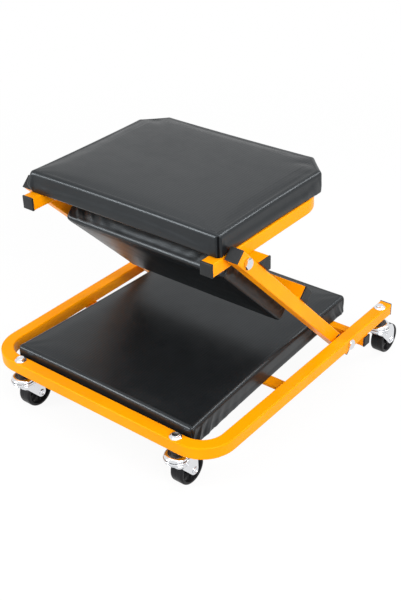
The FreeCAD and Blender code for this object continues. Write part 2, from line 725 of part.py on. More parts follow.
def base_nodes(nodes):
    """Base frame, its cross members, the lower pad and their fasteners."""
    frame = u_frame(BASE_WIDTH / 2, FRONT, BACK, BASE_BEND, CASTER_HEIGHT)
    for name, place in caster_places().items():
        if not name.startswith("head"):
            frame = frame.cut(placed(rod(STEM + 2 * FIT, Vec(0, 0, 0), Vec(0, 0, TUBE)), place))
    reach = X_AXIS * (BASE_WIDTH / 2)
    nodes["base_frame"] = frame.cut(rod(PIVOT_BOLT + 2 * FIT, LOWER_PIVOT - reach, LOWER_PIVOT + reach))
    rail = Vec(BASE_WIDTH / 2 - TUBE / 2, BACK, CASTER_HEIGHT + TUBE / 2)
    nodes["base_rail_caps"] = group(pair(end_cap(rail, Y_AXIS, TUBE, TUBE_WALL)))

    strip_y = FRONT + STRIP_SETBACK + STRIP_WIDTH / 2
    spread = LOWER_PAD_NARROW - LOWER_SCREW_INSET
    strip_screws = [(-spread, strip_y), (spread, strip_y)]
    bar_screws = [(-spread, BASE_BAR_Y), (spread, BASE_BAR_Y)]
    half = BASE_WIDTH / 2
    nodes["base_stop_bar"] = cross_bar(
        half, BASE_BAR_Y, BASE_BAR_Z, STOP_BAR, STOP_BAR_WALL, STOP_BAR_ROUND, bar_screws
    )
    nodes["base_stop_bar_caps"] = group(bar_caps(half, BASE_BAR_Y, BASE_BAR_Z, STOP_BAR, STOP_BAR_WALL))
    strip_half = Vec(RAIL_IN + STRIP_OVERLAP, STRIP_WIDTH / 2, 0)
    strip_low = Vec(0, strip_y, CASTER_HEIGHT - STRIP_THICKNESS) - strip_half
    strip = box(strip_low, Vec(0, strip_y, CASTER_HEIGHT) + strip_half)
    for x, y in strip_screws:
        strip = strip.cut(screw_hole(x, y, CASTER_HEIGHT - STRIP_THICKNESS, CASTER_HEIGHT))
    nodes["base_front_strip"] = strip

    screws = strip_screws + bar_screws
    pad, plate = pad_and_board(lower_pad_corners(), CASTER_HEIGHT, LOWER_PAD_THICKNESS, screws)
    nodes["lower_pad"] = pad
    nodes["lower_pad_board"] = plate
    tip = CASTER_HEIGHT + SCREW_BITE
    driven = [wood_screw(x, y, CASTER_HEIGHT - STRIP_THICKNESS, tip) for x, y in strip_screws]
    driven += [wood_screw(x, y, CASTER_HEIGHT - STOP_BAR, tip) for x, y in bar_screws]
    nodes["lower_pad_screws"] = group(driven)

    head = LOWER_PIVOT + X_AXIS * (BASE_WIDTH / 2)
    nut_start = LOWER_PIVOT + X_AXIS * (ARM_IN - CLEAR)
    nut_end = nut_start - X_AXIS * NUT_HEIGHT
    washer_start = LOWER_PIVOT + X_AXIS * (ARM_OUT + CLEAR)
    washer_end = LOWER_PIVOT + X_AXIS * RAIL_IN
    bolt = flanged_bolt(PIVOT_BOLT, head, nut_end - X_AXIS * BOLT_TIP, BOLT_FLATS)
    nodes["lower_pivot_bolts"] = group(pair(bolt))
    nodes["lower_pivot_nuts"] = group(pair(hex_nut(PIVOT_BOLT, NUT_FLATS, nut_start, nut_end)))
    washer = ring(WASHER_DIAMETER, PIVOT_BOLT + 2 * FIT, washer_start, washer_end)
    nodes["lower_pivot_washers"] = group(pair(washer))


def arm_nodes(nodes):
    """The two arms with their carrier bar and the middle pad, drawn flat and raised."""
    middle = (ARM_OUT + ARM_IN) / 2
    top = Vec(middle, LOWER_PIVOT.y + ARM_SPAN + ARM_TOP, LOWER_PIVOT.z)
    tail = Vec(middle, LOWER_PIVOT.y - ARM_TAIL, LOWER_PIVOT.z)
    arm = square_tube(tail, top, TUBE, TUBE_WALL, TUBE_ROUND)
    for pivot in (0.0, ARM_SPAN):
        centre = LOWER_PIVOT + Y_AXIS * pivot
        arm = arm.cut(rod(PIVOT_BOLT + 2 * RUNNING, centre, centre + X_AXIS * (ARM_OUT + OVERRUN)))
    nodes["arm_right"] = raised(arm)
    nodes["arm_left"] = raised(mirrored(arm))
    nodes["arm_top_caps"] = raised(group(pair(end_cap(top, Y_AXIS, TUBE, TUBE_WALL))))
    nodes["arm_tail_caps"] = raised(group(pair(end_cap(tail, -Y_AXIS, TUBE, TUBE_WALL))))

    spread = MIDDLE_PAD_HALF - MIDDLE_SCREW_INSET
    screws = [(-spread, FLAT_CARRIER_Y), (spread, FLAT_CARRIER_Y)]
    carrier = cross_bar(ARM_OUT, FLAT_CARRIER_Y, FLAT_CARRIER_Z, TUBE, TUBE_WALL, TUBE_ROUND, screws)
    nodes["carrier_bar"] = raised(carrier)
    nodes["carrier_bar_caps"] = raised(group(bar_caps(ARM_OUT, FLAT_CARRIER_Y, FLAT_CARRIER_Z, TUBE, TUBE_WALL)))
    pad, plate = pad_and_board(middle_pad_corners(), FLAT_PAD_Z, MIDDLE_PAD_THICKNESS, screws)
    nodes["middle_pad"] = raised(pad)
    nodes["middle_pad_board"] = raised(plate)
    tip = FLAT_PAD_Z + SCREW_BITE
    driven = [wood_screw(x, y, FLAT_PAD_Z - TUBE, tip) for x, y in screws]
    nodes["middle_pad_screws"] = raised(group(driven))


def seat_nodes(nodes):
    """Seat frame, its stop bar, the seat pad and their fasteners."""
    mouth = UPPER_PIVOT.y - SEAT_TAIL
    frame = u_frame(SEAT_OUT, SEAT_BACK, mouth, SEAT_BEND, SEAT_BOTTOM)
    rail = (SEAT_OUT + SEAT_IN) / 2
    first = UPPER_PIVOT.y + SEAT_SCREW_FRONT
    line = rail - SEAT_SCREW_INSET
    screws = [(x, y) for x in (-line, line) for y in (first, first + SEAT_SCREW_PITCH)]
    for x, y in screws:
        frame = frame.cut(screw_hole(x, y, SEAT_BOTTOM, SEAT_TOP))
    for x in (-HEAD_CASTER_SPREAD / 2, HEAD_CASTER_SPREAD / 2):
        low = Vec(x, HEAD_CASTER_Y, SEAT_BOTTOM)
        frame = frame.cut(rod(STEM + 2 * FIT, low, low + Z_AXIS * (TUBE / 2)))
    reach = X_AXIS * SEAT_OUT
    nodes["seat_frame"] = frame.cut(rod(PIVOT_BOLT + 2 * FIT, UPPER_PIVOT - reach, UPPER_PIVOT + reach))
    cap_place = Vec(rail, mouth, UPPER_PIVOT.z)
    nodes["seat_frame_caps"] = group(pair(end_cap(cap_place, -Y_AXIS, TUBE, TUBE_WALL)))
    nodes["seat_stop_bar"] = seat_stop()
    nodes["seat_stop_bar_caps"] = group(pair(seat_stop_cap()))

    pad, plate = pad_and_board(seat_pad_corners(), SEAT_TOP, SEAT_PAD_THICKNESS, screws)
    nodes["seat_pad"] = pad
    nodes["seat_pad_board"] = plate
    nodes["seat_pad_screws"] = group([wood_screw(x, y, SEAT_BOTTOM, SEAT_TOP + SCREW_BITE) for x, y in screws])

    head = UPPER_PIVOT + X_AXIS * (ARM_OUT + CLEAR)
    nut_start = UPPER_PIVOT + X_AXIS * SEAT_IN
    nut_end = nut_start - X_AXIS * NUT_HEIGHT
    washer_start = UPPER_PIVOT + X_AXIS * SEAT_OUT
    washer_end = UPPER_PIVOT + X_AXIS * (ARM_IN - CLEAR)
    bolt = flanged_bolt(PIVOT_BOLT, head, nut_end - X_AXIS * BOLT_TIP, BOLT_FLATS)
    nodes["upper_pivot_bolts"] = group(pair(bolt))
    nodes["upper_pivot_nuts"] = group(pair(hex_nut(PIVOT_BOLT, NUT_FLATS, nut_start, nut_end)))
    washer = ring(WASHER_DIAMETER, PIVOT_BOLT + 2 * FIT, washer_start, washer_end)
    nodes["upper_pivot_washers"] = group(pair(washer))


def main():
    os.makedirs("parts", exist_ok=True)
    nodes = {}
    base_nodes(nodes)
    arm_nodes(nodes)
    seat_nodes(nodes)
    caster_nodes(nodes)
    for name, shape in nodes.items():
        shape.exportStep(f"parts/{name}.step")
        print(name, len(shape.Solids), round(shape.Volume), shape.isValid())


main()
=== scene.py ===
# %% [markdown]
# # A convertible creeper seat in its finish
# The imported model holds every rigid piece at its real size, in metres: orange tube frame, pads, pivots
# and casters. This lesson dresses that model. Metal that is already right keeps its solid and gets a
# finish. Soft pads, hardware and casters are drawn again as finer surfaces in the same places.

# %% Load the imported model
import json
import math

import bmesh
import bpy
import numpy as np
from mathutils import Matrix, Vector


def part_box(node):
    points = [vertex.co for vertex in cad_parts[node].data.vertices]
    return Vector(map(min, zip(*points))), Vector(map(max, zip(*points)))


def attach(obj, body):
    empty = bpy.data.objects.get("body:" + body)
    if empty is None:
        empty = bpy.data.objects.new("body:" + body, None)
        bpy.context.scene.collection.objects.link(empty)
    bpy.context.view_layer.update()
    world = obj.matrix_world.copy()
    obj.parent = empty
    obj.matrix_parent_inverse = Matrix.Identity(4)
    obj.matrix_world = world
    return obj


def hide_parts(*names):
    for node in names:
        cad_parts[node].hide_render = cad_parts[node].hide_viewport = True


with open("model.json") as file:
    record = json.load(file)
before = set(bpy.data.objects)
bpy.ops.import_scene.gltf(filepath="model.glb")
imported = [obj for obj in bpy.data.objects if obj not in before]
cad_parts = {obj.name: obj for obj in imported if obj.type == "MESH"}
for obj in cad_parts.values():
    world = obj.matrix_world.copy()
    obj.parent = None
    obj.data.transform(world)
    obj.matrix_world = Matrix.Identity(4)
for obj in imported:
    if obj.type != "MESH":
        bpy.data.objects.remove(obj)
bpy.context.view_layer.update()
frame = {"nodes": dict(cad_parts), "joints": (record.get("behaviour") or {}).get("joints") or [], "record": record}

MM = 0.001
NODES = frame["nodes"]
JOINTS = {joint["name"]: joint for joint in frame["joints"]}

# %% [markdown]
# ## The camera
# The picture was taken from the right, a little above the seat, with a slight roll. Its place and focal
# length were found from straight edges of the frame, so the lens is written in pixels of a 401 by 601
# frame and turned into millimetres. A camera could also be aimed with a constraint, but plain angles
# are easier to read and leave nothing live in the file.

# %% Camera
PICTURE_HEIGHT = 601
FOCAL_PIXELS = 1037.2
SENSOR = 36.0
CAMERA_PLACE = (0.8858, -1.0634, 0.9927)
CAMERA_AZIMUTH = math.radians(39.5)
CAMERA_ELEVATION = math.radians(31.8)
CAMERA_ROLL = math.radians(-1.9)


def camera_axes(azimuth, elevation, roll):
    """Right, up and backward directions: two angles aim the camera, the roll turns right towards up."""
    back = np.array([
        math.sin(azimuth) * math.cos(elevation),
        -math.cos(azimuth) * math.cos(elevation),
        math.sin(elevation),
    ])
    level = np.array([math.cos(azimuth), math.sin(azimuth), 0.0])
    upright = np.cross(back, level)
    right = level * math.cos(roll) + upright * math.sin(roll)
    return np.column_stack([right, np.cross(back, right), back])


lens = bpy.data.cameras.new("picture_camera")
lens.sensor_width = SENSOR
lens.lens = FOCAL_PIXELS * SENSOR / PICTURE_HEIGHT
camera = bpy.data.objects.new("picture_camera", lens)
bpy.context.scene.collection.objects.link(camera)
camera.matrix_world = Matrix(camera_axes(CAMERA_AZIMUTH, CAMERA_ELEVATION, CAMERA_ROLL).tolist()).to_4x4()
camera.location = CAMERA_PLACE
bpy.context.scene.camera = camera
bpy.context.scene.view_settings.view_transform = "Standard"
print("lens", round(lens.lens, 2), "mm")

# %% [markdown]
# ## Meshes from whole arrays
# Every new piece is a grid of points: one parameter runs down the rows, the other along the columns.
# Neighbouring rows and columns make four-sided faces, and a grid whose last column meets its first is a
# tube. Working on whole arrays is quick and keeps each shape's formula in one place.

# %% Grid helpers
def quads(index):
    """Four-sided faces between neighbouring entries of a table of vertex numbers."""
    corners = [index[:-1, :-1], index[:-1, 1:], index[1:, 1:], index[1:, :-1]]
    return np.stack(corners, axis=-1).reshape(-1, 4)


def grid(points, round_columns=False, round_rows=False):
    """Vertices and faces of a grid of points (rows, columns, 3), closed round either way if asked."""
    rows, columns = points.shape[:2]
    index = np.arange(rows * columns).reshape(rows, columns)
    if round_columns:
        index = np.hstack([index, index[:, :1]])
    if round_rows:
        index = np.vstack([index, index[:1]])
    return points.reshape(-1, 3), quads(index).tolist()


def tube(points):
    """A grid whose columns go round, with flat faces on its first and last row."""
    vertices, faces = grid(points, round_columns=True)
    columns = points.shape[1]
    first = np.arange(columns)
    faces.append(first[::-1].tolist())
    faces.append((first + len(vertices) - columns).tolist())
    return vertices, faces


# %% Shapes put together
def joined(parts):
    """Several (vertices, faces) shapes as one, with the later face numbers moved along."""
    vertices = np.vstack([part[0] for part in parts])
    starts = np.cumsum([0] + [len(part[0]) for part in parts[:-1]])
    faces = []
    for start, part in zip(starts, parts):
        faces += [[int(corner + start) for corner in face] for face in part[1]]
    return vertices, faces


def moved(part, place, axes=None):
    """A shape with its points turned by a 3 by 3 matrix of axis columns, then shifted."""
    points = part[0] if axes is None else part[0] @ np.asarray(axes).T
    return points + np.asarray(place), part[1]


def axes_along(direction):
    """Axis columns that carry local Z to a direction along X, Y or Z."""
    along = np.asarray(direction, float)
    side = np.array([0.0, 1.0, 0.0]) if abs(along[1]) < 0.5 else np.array([1.0, 0.0, 0.0])
    across = np.cross(side, along)
    return np.column_stack([across, side, along])


# %% [markdown]
# ## Pieces
# A piece is a mesh with a finish that rides on one body of the model. Points that meet are merged, so
# that seams close, and faces are turned outwards. Edges sharper than an angle stay crisp, and the rest is
# shaded smooth; a bevel on each piece would do the same with many more faces.

# %% Piece helpers
WELD = 2e-6
SHARP = math.radians(38)


def new_mesh(name, part, sharp=SHARP):
    """Mesh with doubled points merged, faces turned outwards and edges sharper than an angle kept crisp."""
    mesh = bpy.data.meshes.new(name)
    mesh.from_pydata(part[0].tolist(), [], part[1])
    work = bmesh.new()
    work.from_mesh(mesh)
    bmesh.ops.remove_doubles(work, verts=work.verts, dist=WELD)
    bmesh.ops.dissolve_degenerate(work, edges=work.edges, dist=WELD)
    bmesh.ops.recalc_face_normals(work, faces=work.faces)
    work.to_mesh(mesh)
    work.free()
    mesh.shade_smooth()
    mesh.set_sharp_from_angle(angle=sharp)
    return mesh


def new_piece(name, part, material, body, replaced=(), sharp=SHARP):
    """A finished piece: its mesh at the origin, its finish, the body it rides on and what it stands for."""
    mesh = new_mesh(name, part, sharp)
    mesh.materials.append(material)
    piece = bpy.data.objects.new(name, mesh)
    bpy.context.scene.collection.objects.link(piece)
    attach(piece, body)
    if replaced:
        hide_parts(*replaced)
    print(name, len(mesh.polygons), "faces")


# %% [markdown]
# ## Profiles and turned shapes
# Caps, dishes and wheels are lathe work: a short outline of corner points is softened, then turned about
# an axis. Softening swaps each corner for a small parabola, as a press or a mould would leave it.

# %% Profile helpers
def softened(points, radius, steps=5):
    """A line of points with each inner corner replaced by a parabola that starts and ends a radius away."""
    points = np.asarray(points, float)
    corner = points[1:-1]
    before = points[:-2] - corner
    after = points[2:] - corner
    long_before = np.linalg.norm(before, axis=1, keepdims=True)
    long_after = np.linalg.norm(after, axis=1, keepdims=True)
    start = corner + before / long_before * np.minimum(radius, long_before / 2)
    end = corner + after / long_after * np.minimum(radius, long_after / 2)
    t = np.linspace(0, 1, steps)[None, :, None]
    curve = (1 - t) ** 2 * start[:, None] + 2 * t * (1 - t) * corner[:, None] + t ** 2 * end[:, None]
    return np.vstack([points[:1], curve.reshape(-1, points.shape[1]), points[-1:]])


def run_of(points):
    """Distance run along a line of points, from zero."""
    return np.concatenate([[0.0], np.cumsum(np.linalg.norm(np.diff(points, axis=0), axis=1))])


def evenly(points, count):
    """A line of points read again at equal steps of its length."""
    run = run_of(points)
    wanted = np.linspace(0, run[-1], count)
    return np.column_stack([np.interp(wanted, run, column) for column in points.T])


# %% Turned shapes
def turned(profile, around=64):
    """A profile of (radius, height) turned about Z: angles along the columns, the profile down the rows."""
    angle = np.linspace(0, 2 * np.pi, around, endpoint=False)
    radius = profile[:, :1]
    height = np.repeat(profile[:, 1:], around, axis=1)
    return np.stack([radius * np.cos(angle), radius * np.sin(angle), height], axis=-1)


def lathe(points, radius, around=64):
    """Closed turned shape from corner points that start and end on the axis."""
    return grid(turned(softened(points, radius), around), round_columns=True)


def lathe_ring(points, radius, around=64):
    """Closed turned ring from the corner points of its section, given once round."""
    section = softened(np.vstack([points, points[:2]]), radius)[1:-1]
    return grid(turned(section, around), round_columns=True, round_rows=True)


# %% [markdown]
# ## Finishes
# Each finish is a Principled surface. Plain values sit on the shader's own sockets, and what varies over
# the surface, such as grain, orange peel and scratches, comes from noise on Object coordinates, at the
# size that the real finish has. Image textures could hold the same detail, but noise needs no files and
# fits any piece.

# %% Finish helpers
def finish(name, colour, roughness, metallic=0.0, **sockets):
    """A Principled material; extra sockets are given by name with underscores for spaces."""
    material = bpy.data.materials.new(name)
    material.use_nodes = True
    surface = material.node_tree.nodes["Principled BSDF"]
    surface.inputs["Base Color"].default_value = (*colour, 1)
    surface.inputs["Roughness"].default_value = roughness
    surface.inputs["Metallic"].default_value = metallic
    for socket, value in sockets.items():
        surface.inputs[socket.replace("_", " ")].default_value = value
    return material


def node(material, kind, **values):
    """A new node, with its own properties and its inputs set by name."""
    made = material.node_tree.nodes.new(kind)
    for key, value in values.items():
        if hasattr(made, key):
            setattr(made, key, value)
        else:
            made.inputs[key].default_value = value
    return made


def wire(material, start, end):
    """Link from one node's output to another's input."""
    material.node_tree.links.new(start, end)


# %% Patterns
NOISE_LOW = 0.3
NOISE_HIGH = 0.7


def places(material, stretch=(1, 1, 1)):
    """Object coordinates, stretched along each axis."""
    source = node(material, "ShaderNodeTexCoord")
    mapping = node(material, "ShaderNodeMapping", Scale=stretch)
    wire(material, source.outputs["Object"], mapping.inputs["Vector"])
    return mapping.outputs["Vector"]


def noise(material, where, scale, detail=3.0, roughness=0.55):
    """Soft noise with so many lumps in a metre."""
    made = node(material, "ShaderNodeTexNoise", Scale=scale, Detail=detail, Roughness=roughness)
    wire(material, where, made.inputs["Vector"])
    return made.outputs["Fac"]


def spread(material, value, low, high):
    """A noise value spread between two numbers over the middle of its range."""
    made = node(material, "ShaderNodeMapRange")
    made.inputs["From Min"].default_value = NOISE_LOW
    made.inputs["From Max"].default_value = NOISE_HIGH
    made.inputs["To Min"].default_value = low
    made.inputs["To Max"].default_value = high
    wire(material, value, made.inputs["Value"])
    return made.outputs["Result"]


def blended(material, value, dark, light):
    """Colour between two ends, by a value from 0 to 1."""
    made = node(material, "ShaderNodeMix", data_type="RGBA")
    made.inputs["A"].default_value = (*dark, 1)
    made.inputs["B"].default_value = (*light, 1)
    wire(material, value, made.inputs["Factor"])
    return made.outputs["Result"]


# %% Patterns on the surface
def relief(material, heights):
    """Bumps stacked on the surface: each is a height value from 0 to 1 and its depth in metres."""
    surface = material.node_tree.nodes["Principled BSDF"]
    below = None
    for height, depth in heights:
        bump = node(material, "ShaderNodeBump", Distance=depth, Strength=1.0)
        wire(material, height, bump.inputs["Height"])
        if below is not None:
            wire(material, below, bump.inputs["Normal"])
        below = bump.outputs["Normal"]
    wire(material, below, surface.inputs["Normal"])


def tinted(material, value, dark, light):
    """Base colour between two ends, by a value from 0 to 1."""
    surface = material.node_tree.nodes["Principled BSDF"]
    wire(material, blended(material, value, dark, light), surface.inputs["Base Color"])


def roughened(material, value, low, high):
    """Roughness between two numbers, by a noise value."""
    surface = material.node_tree.nodes["Principled BSDF"]
    wire(material, spread(material, value, low, high), surface.inputs["Roughness"])


# %% [markdown]
# ### Powder coat
# The frame is sprayed with orange powder and baked. The coat flows into a fine orange peel, a few
# millimetres from lump to lump, and is a little uneven in tone. A clear gloss lies on a deep colour.

# %% Orange powder coat
ORANGE_MEAN = (0.96, 0.328, 0.001)
ORANGE_DARK = (0.93, 0.305, 0.0008)
ORANGE_LIGHT = (0.98, 0.346, 0.0012)
ORANGE_GLOSS = {"Specular_IOR_Level": 0.12, "Specular_Tint": (1.0, 0.75, 0.35, 1)}
PEEL_LUMPS = 330
PEEL_DEPTH = 0.04 * MM
SPECK_LUMPS = 1500
SPECK_DEPTH = 0.008 * MM


def powder_coat():
    """Orange under a warm gloss: slow changes of tone, uneven roughness, orange peel and fine specks."""
    material = finish("orange_powder_coat", ORANGE_MEAN, 0.34, **ORANGE_GLOSS)
    where = places(material)
    tone = spread(material, noise(material, where, 14, 2), 0, 1)
    tinted(material, tone, ORANGE_DARK, ORANGE_LIGHT)
    roughened(material, noise(material, where, 90, 3), 0.31, 0.42)
    peel = noise(material, where, PEEL_LUMPS, 2)
    speck = noise(material, where, SPECK_LUMPS, 1)
    relief(material, [(peel, PEEL_DEPTH), (speck, SPECK_DEPTH)])
    return material


ORANGE = powder_coat()
print(ORANGE.name)

# %% [markdown]
# ### Vinyl
# The pads are wrapped in charcoal vinyl with a leather grain and faint pressed ridges from front to back.
# The grain is a cell pattern of about a millimetre. The ridges follow the piece's own flat map, so that
# they keep their direction on every pad, and a value on its points ends them where the top rolls over.

# %% Black vinyl
VINYL_MEAN = (0.0075, 0.0085, 0.0095)
VINYL_DARK = (0.006, 0.007, 0.008)
VINYL_LIGHT = (0.009, 0.010, 0.011)
VINYL_GLOSS = {"Specular_IOR_Level": 0.33, "Specular_Tint": (0.86, 0.94, 1.0, 1)}
DRAPE_DEPTH = 0.12 * MM
RIDGE_PITCH = 4.4 * MM
RIDGE_DEPTH = 0.055 * MM
GRAIN_CELLS = 900
GRAIN_DEPTH = 0.03 * MM
WAVE_PERIOD = math.pi / 10


def vinyl():
    """Charcoal under a cool gloss: slow drape, ridges from a wave across the flat map, and a cell grain."""
    material = finish("black_vinyl", VINYL_MEAN, 0.34, **VINYL_GLOSS)
    where = places(material)
    tone = spread(material, noise(material, where, 9, 4), 0, 1)
    tinted(material, tone, VINYL_DARK, VINYL_LIGHT)
    roughened(material, noise(material, where, 40, 4), 0.30, 0.38)
    cells = node(material, "ShaderNodeTexVoronoi", Scale=GRAIN_CELLS, feature="SMOOTH_F1")
    wire(material, where, cells.inputs["Vector"])
    flat = node(material, "ShaderNodeUVMap", uv_map="flat")
    ridges = node(material, "ShaderNodeTexWave", bands_direction="X", Scale=WAVE_PERIOD / RIDGE_PITCH)
    ridges.inputs["Distortion"].default_value = 0.8
    ridges.inputs["Detail"].default_value = 1.0
    wire(material, flat.outputs["UV"], ridges.inputs["Vector"])
    lying = node(material, "ShaderNodeAttribute", attribute_name="lying")
    pressed = node(material, "ShaderNodeMath", operation="MULTIPLY")
    wire(material, ridges.outputs["Fac"], pressed.inputs[0])
    wire(material, lying.outputs["Fac"], pressed.inputs[1])
    drape = noise(material, where, 26, 2)
    relief(material, [
        (drape, DRAPE_DEPTH),
        (pressed.outputs["Value"], RIDGE_DEPTH),
        (cells.outputs["Distance"], GRAIN_DEPTH),
    ])
    return material


VINYL = vinyl()
print(VINYL.name)

# %% [markdown]
# ### Metals
# Bolts are zinc plated, a soft grey-blue metal with fine handling marks. The swivels are bright plate over
# pressed steel, which is never quite flat, so a slow swell bends its reflections. Black oxide covers the
# caster nuts. Their black, which wide flanges spread over the dish tops, is also painted shade there: it
# stands for the dark reflection of the tube's shaded underside.

# %% Metals
def plated(name, colour, low, high, swell, scratch):
    """Bare metal: roughness between two values, a slow swell of the surface and fine marks, in metres."""
    material = finish(name, colour, (low + high) / 2, 1.0)
    where = places(material)
    roughened(material, noise(material, where, 160, 4), low, high)
    marks = noise(material, places(material, (1, 1, 7)), 700, 3, 0.7)
    relief(material, [(noise(material, where, 60, 1), swell), (marks, scratch)])
    return material


ZINC = plated("zinc_plate", (0.72, 0.73, 0.76), 0.14, 0.26, 0.06 * MM, 0.012 * MM)
CHROME = plated("bright_plate", (0.74, 0.75, 0.77), 0.08, 0.15, 0.03 * MM, 0.002 * MM)
BEARING = plated("bearing_steel", (0.60, 0.60, 0.62), 0.10, 0.18, 0.01 * MM, 0.003 * MM)


def black_oxide():
    """Dull black skin on steel, half metallic, with uneven roughness and a fine tooth. On the caster nuts
    its black is also painted shade: the dark reflection of the tube's shaded underside on the dish tops.
    """
    material = finish("black_oxide", (0.03, 0.03, 0.032), 0.38, 0.5)
    where = places(material)
    roughened(material, noise(material, where, 220, 3), 0.30, 0.48)
    relief(material, [(noise(material, where, 900, 2), 0.02 * MM)])
    return material


OXIDE_AND_SHADE = black_oxide()
print(ZINC.name, CHROME.name, BEARING.name, OXIDE_AND_SHADE.name)

# %% [markdown]
# ### Plastics and board
# End caps and washers are moulded with a dull grain; the wheels are smoother and darker, with a faint dust
# in their tone. The boards under the pads are raw plywood, whose grain is noise drawn out along X.

# %% Plastics and plywood
def moulded(name, dark, light, gloss, low, high, grain):
    """Moulded plastic: two tones, gloss, roughness between two values and a pebbled skin of a given depth."""
    material = finish(name, light, (low + high) / 2, Specular_IOR_Level=gloss)
    where = places(material)
    tinted(material, spread(material, noise(material, where, 55, 3), 0, 1), dark, light)
    roughened(material, noise(material, where, 130, 3), low, high)
    relief(material, [(noise(material, where, 1400, 2), grain)])
    return material


CAP_DARK = (0.010, 0.011, 0.012)
CAP_LIGHT = (0.017, 0.018, 0.019)
WHEEL_DARK = (0.007, 0.007, 0.008)
WHEEL_LIGHT = (0.013, 0.013, 0.014)
CAP_PLASTIC = moulded("black_plastic", CAP_DARK, CAP_LIGHT, 0.25, 0.42, 0.58, 0.05 * MM)
WHEEL_PLASTIC = moulded("wheel_black", WHEEL_DARK, WHEEL_LIGHT, 0.14, 0.28, 0.42, 0.015 * MM)


def plywood():
    """Raw board: two browns and a shallow relief, both from one grain drawn out along X."""
    material = finish("plywood", (0.45, 0.30, 0.16), 0.72)
    grain = noise(material, places(material, (1, 12, 12)), 22, 6, 0.65)
    tinted(material, spread(material, grain, 0, 1), (0.33, 0.20, 0.10), (0.54, 0.38, 0.21))
    relief(material, [(grain, 0.15 * MM)])
    return material


PLYWOOD = plywood()

# %% Finish of each slot
FINISH_OF = {
    "orange_paint": ORANGE,
    "black_vinyl": VINYL,
    "plywood": PLYWOOD,
    "black_plastic": CAP_PLASTIC,
    "zinc": ZINC,
    "chrome": CHROME,
    "black_steel": OXIDE_AND_SHADE,
    "bearing_steel": BEARING,
    "wheel_black": WHEEL_PLASTIC,
}
print(len(FINISH_OF), "finishes")

# %% [markdown]
# ## Finish on the solids
# The record says which finish each solid takes. Every solid gets it here, and those that are drawn finer
# below are then hidden by the piece that stands for them.

# %% Assign finishes
for row in frame["record"]["subparts"]:
    NODES[row["node"]].data.materials.clear()
    NODES[row["node"]].data.materials.append(FINISH_OF[row["material_slot"]])

# %% [markdown]
# ## The flat bed and the raised arms
# The arms and the middle pad are easiest to draw where they lie flat behind the lower pivot, as on the
# bed. One turn about that pivot then raises them to the seat. The joint gives the pivot and the angle.

# %% Raising
FOLD = JOINTS["fold"]
PIVOT = np.array(FOLD["pos_m"])
FOLD_ANGLE = math.radians(FOLD["range_deg"][1])
TURN_UP = np.array(Matrix.Rotation(FOLD_ANGLE, 3, "X"))


def raised(points):
    """Points of the flat bed, turned about the lower pivot to where they stand on the seat."""
    return (points - PIVOT) @ TURN_UP.T + PIVOT


print("fold", round(math.degrees(FOLD_ANGLE), 1), "degrees about", np.round(PIVOT, 4))

# %% [markdown]
# ## Pad outlines
# A pad is foam on a board, pulled tight by its cover, so its sides bow in a little between rounded
# corners. The outline is sampled more finely near the corners, where the cover is folded.

# %% Outlines
PAD_CORNER = 6 * MM
PAD_BOW = 0.006
ARC_POINTS = 25
SIDE_POINTS = 200


def unit(vector):
    """A vector at length one."""
    return vector / np.linalg.norm(vector)


def rounded_outline(corners, radius, bow):
    """Closed outline in plan, going round to the left: an arc in each corner, and sides whose middle is
    drawn in by bow times their length, along a parabola."""
    count = len(corners)
    steps = np.linspace(0, 1, ARC_POINTS)[:, None]
    side_steps = np.linspace(0, 1, SIDE_POINTS)[1:-1, None]
    stretches = []
    for index, here in enumerate(corners):
        before = unit(here - corners[index - 1])
        after = unit(corners[(index + 1) % count] - here)
        half = math.acos(np.clip(-before @ after, -1, 1)) / 2
        reach = radius / math.tan(half)
        centre = here + unit(after - before) * radius / math.sin(half)
        first = here - before * reach - centre
        start = math.atan2(first[1], first[0])
        angles = start + steps * (math.pi - 2 * half)
        stretches.append(centre + radius * np.hstack([np.cos(angles), np.sin(angles)]))
        following = corners[(index + 1) % count]
        next_after = unit(corners[(index + 2) % count] - following)
        next_half = math.acos(np.clip(-after @ next_after, -1, 1)) / 2
        leave = here + after * reach
        chord = following - after * radius / math.tan(next_half) - leave
        inward = np.array([-chord[1], chord[0]]) * bow
        stretches.append(leave + chord * side_steps + inward * 4 * side_steps * (1 - side_steps))
    return np.vstack(stretches)


# %% Borders
CORNER_CROWDING = 0.72
AIM_STEP = 0.4 * MM


def crowded(count):
    """Steps from 0 to 1, closer together at both ends: a straight run less part of a sine."""
    t = np.linspace(0, 1, count + 1)
    return t - CORNER_CROWDING * np.sin(2 * np.pi * t) / (2 * np.pi)


def border(corners, marks, count):
    """Outline points, outward directions and run, count to each of the four sides between the marks."""
    outline = rounded_outline(corners, PAD_CORNER, PAD_BOW)
    breaks = [int(np.argmin(np.linalg.norm(outline - mark, axis=1))) for mark in marks]
    outline = np.roll(outline, -breaks[0], axis=0)
    breaks = [(one - breaks[0]) % len(outline) for one in breaks] + [len(outline)]
    outline = np.vstack([outline, outline[:1]])
    run = run_of(outline)
    ends = run[breaks]
    wanted = np.concatenate([a + (b - a) * crowded(count)[:-1] for a, b in zip(ends, ends[1:])])
    points = np.column_stack([np.interp(wanted, run, column) for column in outline.T])
    ahead = np.column_stack([np.interp((wanted + AIM_STEP) % run[-1], run, column) for column in outline.T])
    behind = np.column_stack([np.interp((wanted - AIM_STEP) % run[-1], run, column) for column in outline.T])
    along = ahead - behind
    along /= np.linalg.norm(along, axis=1, keepdims=True)
    outward = np.column_stack([along[:, 1], -along[:, 0]])
    return points, outward, wanted, ends


# %% [markdown]
# ## Pad surfaces
# The cover is one skin: a skirt that comes out of the board's pocket, rolls round the lower edge, climbs
# the side and rolls over the shoulder, and a top that fills the shoulder's outline. A Coons patch fills
# it with an even net that has no pole, so reflections stay calm.

# %% Pad section and top
SHOULDER_ROLL = 7.5 * MM
LOWER_ROLL = 3.4 * MM
POCKET_INSET = 6 * MM
POCKET_HEIGHT = 8.3 * MM
PAD_CROWN = 3.0 * MM


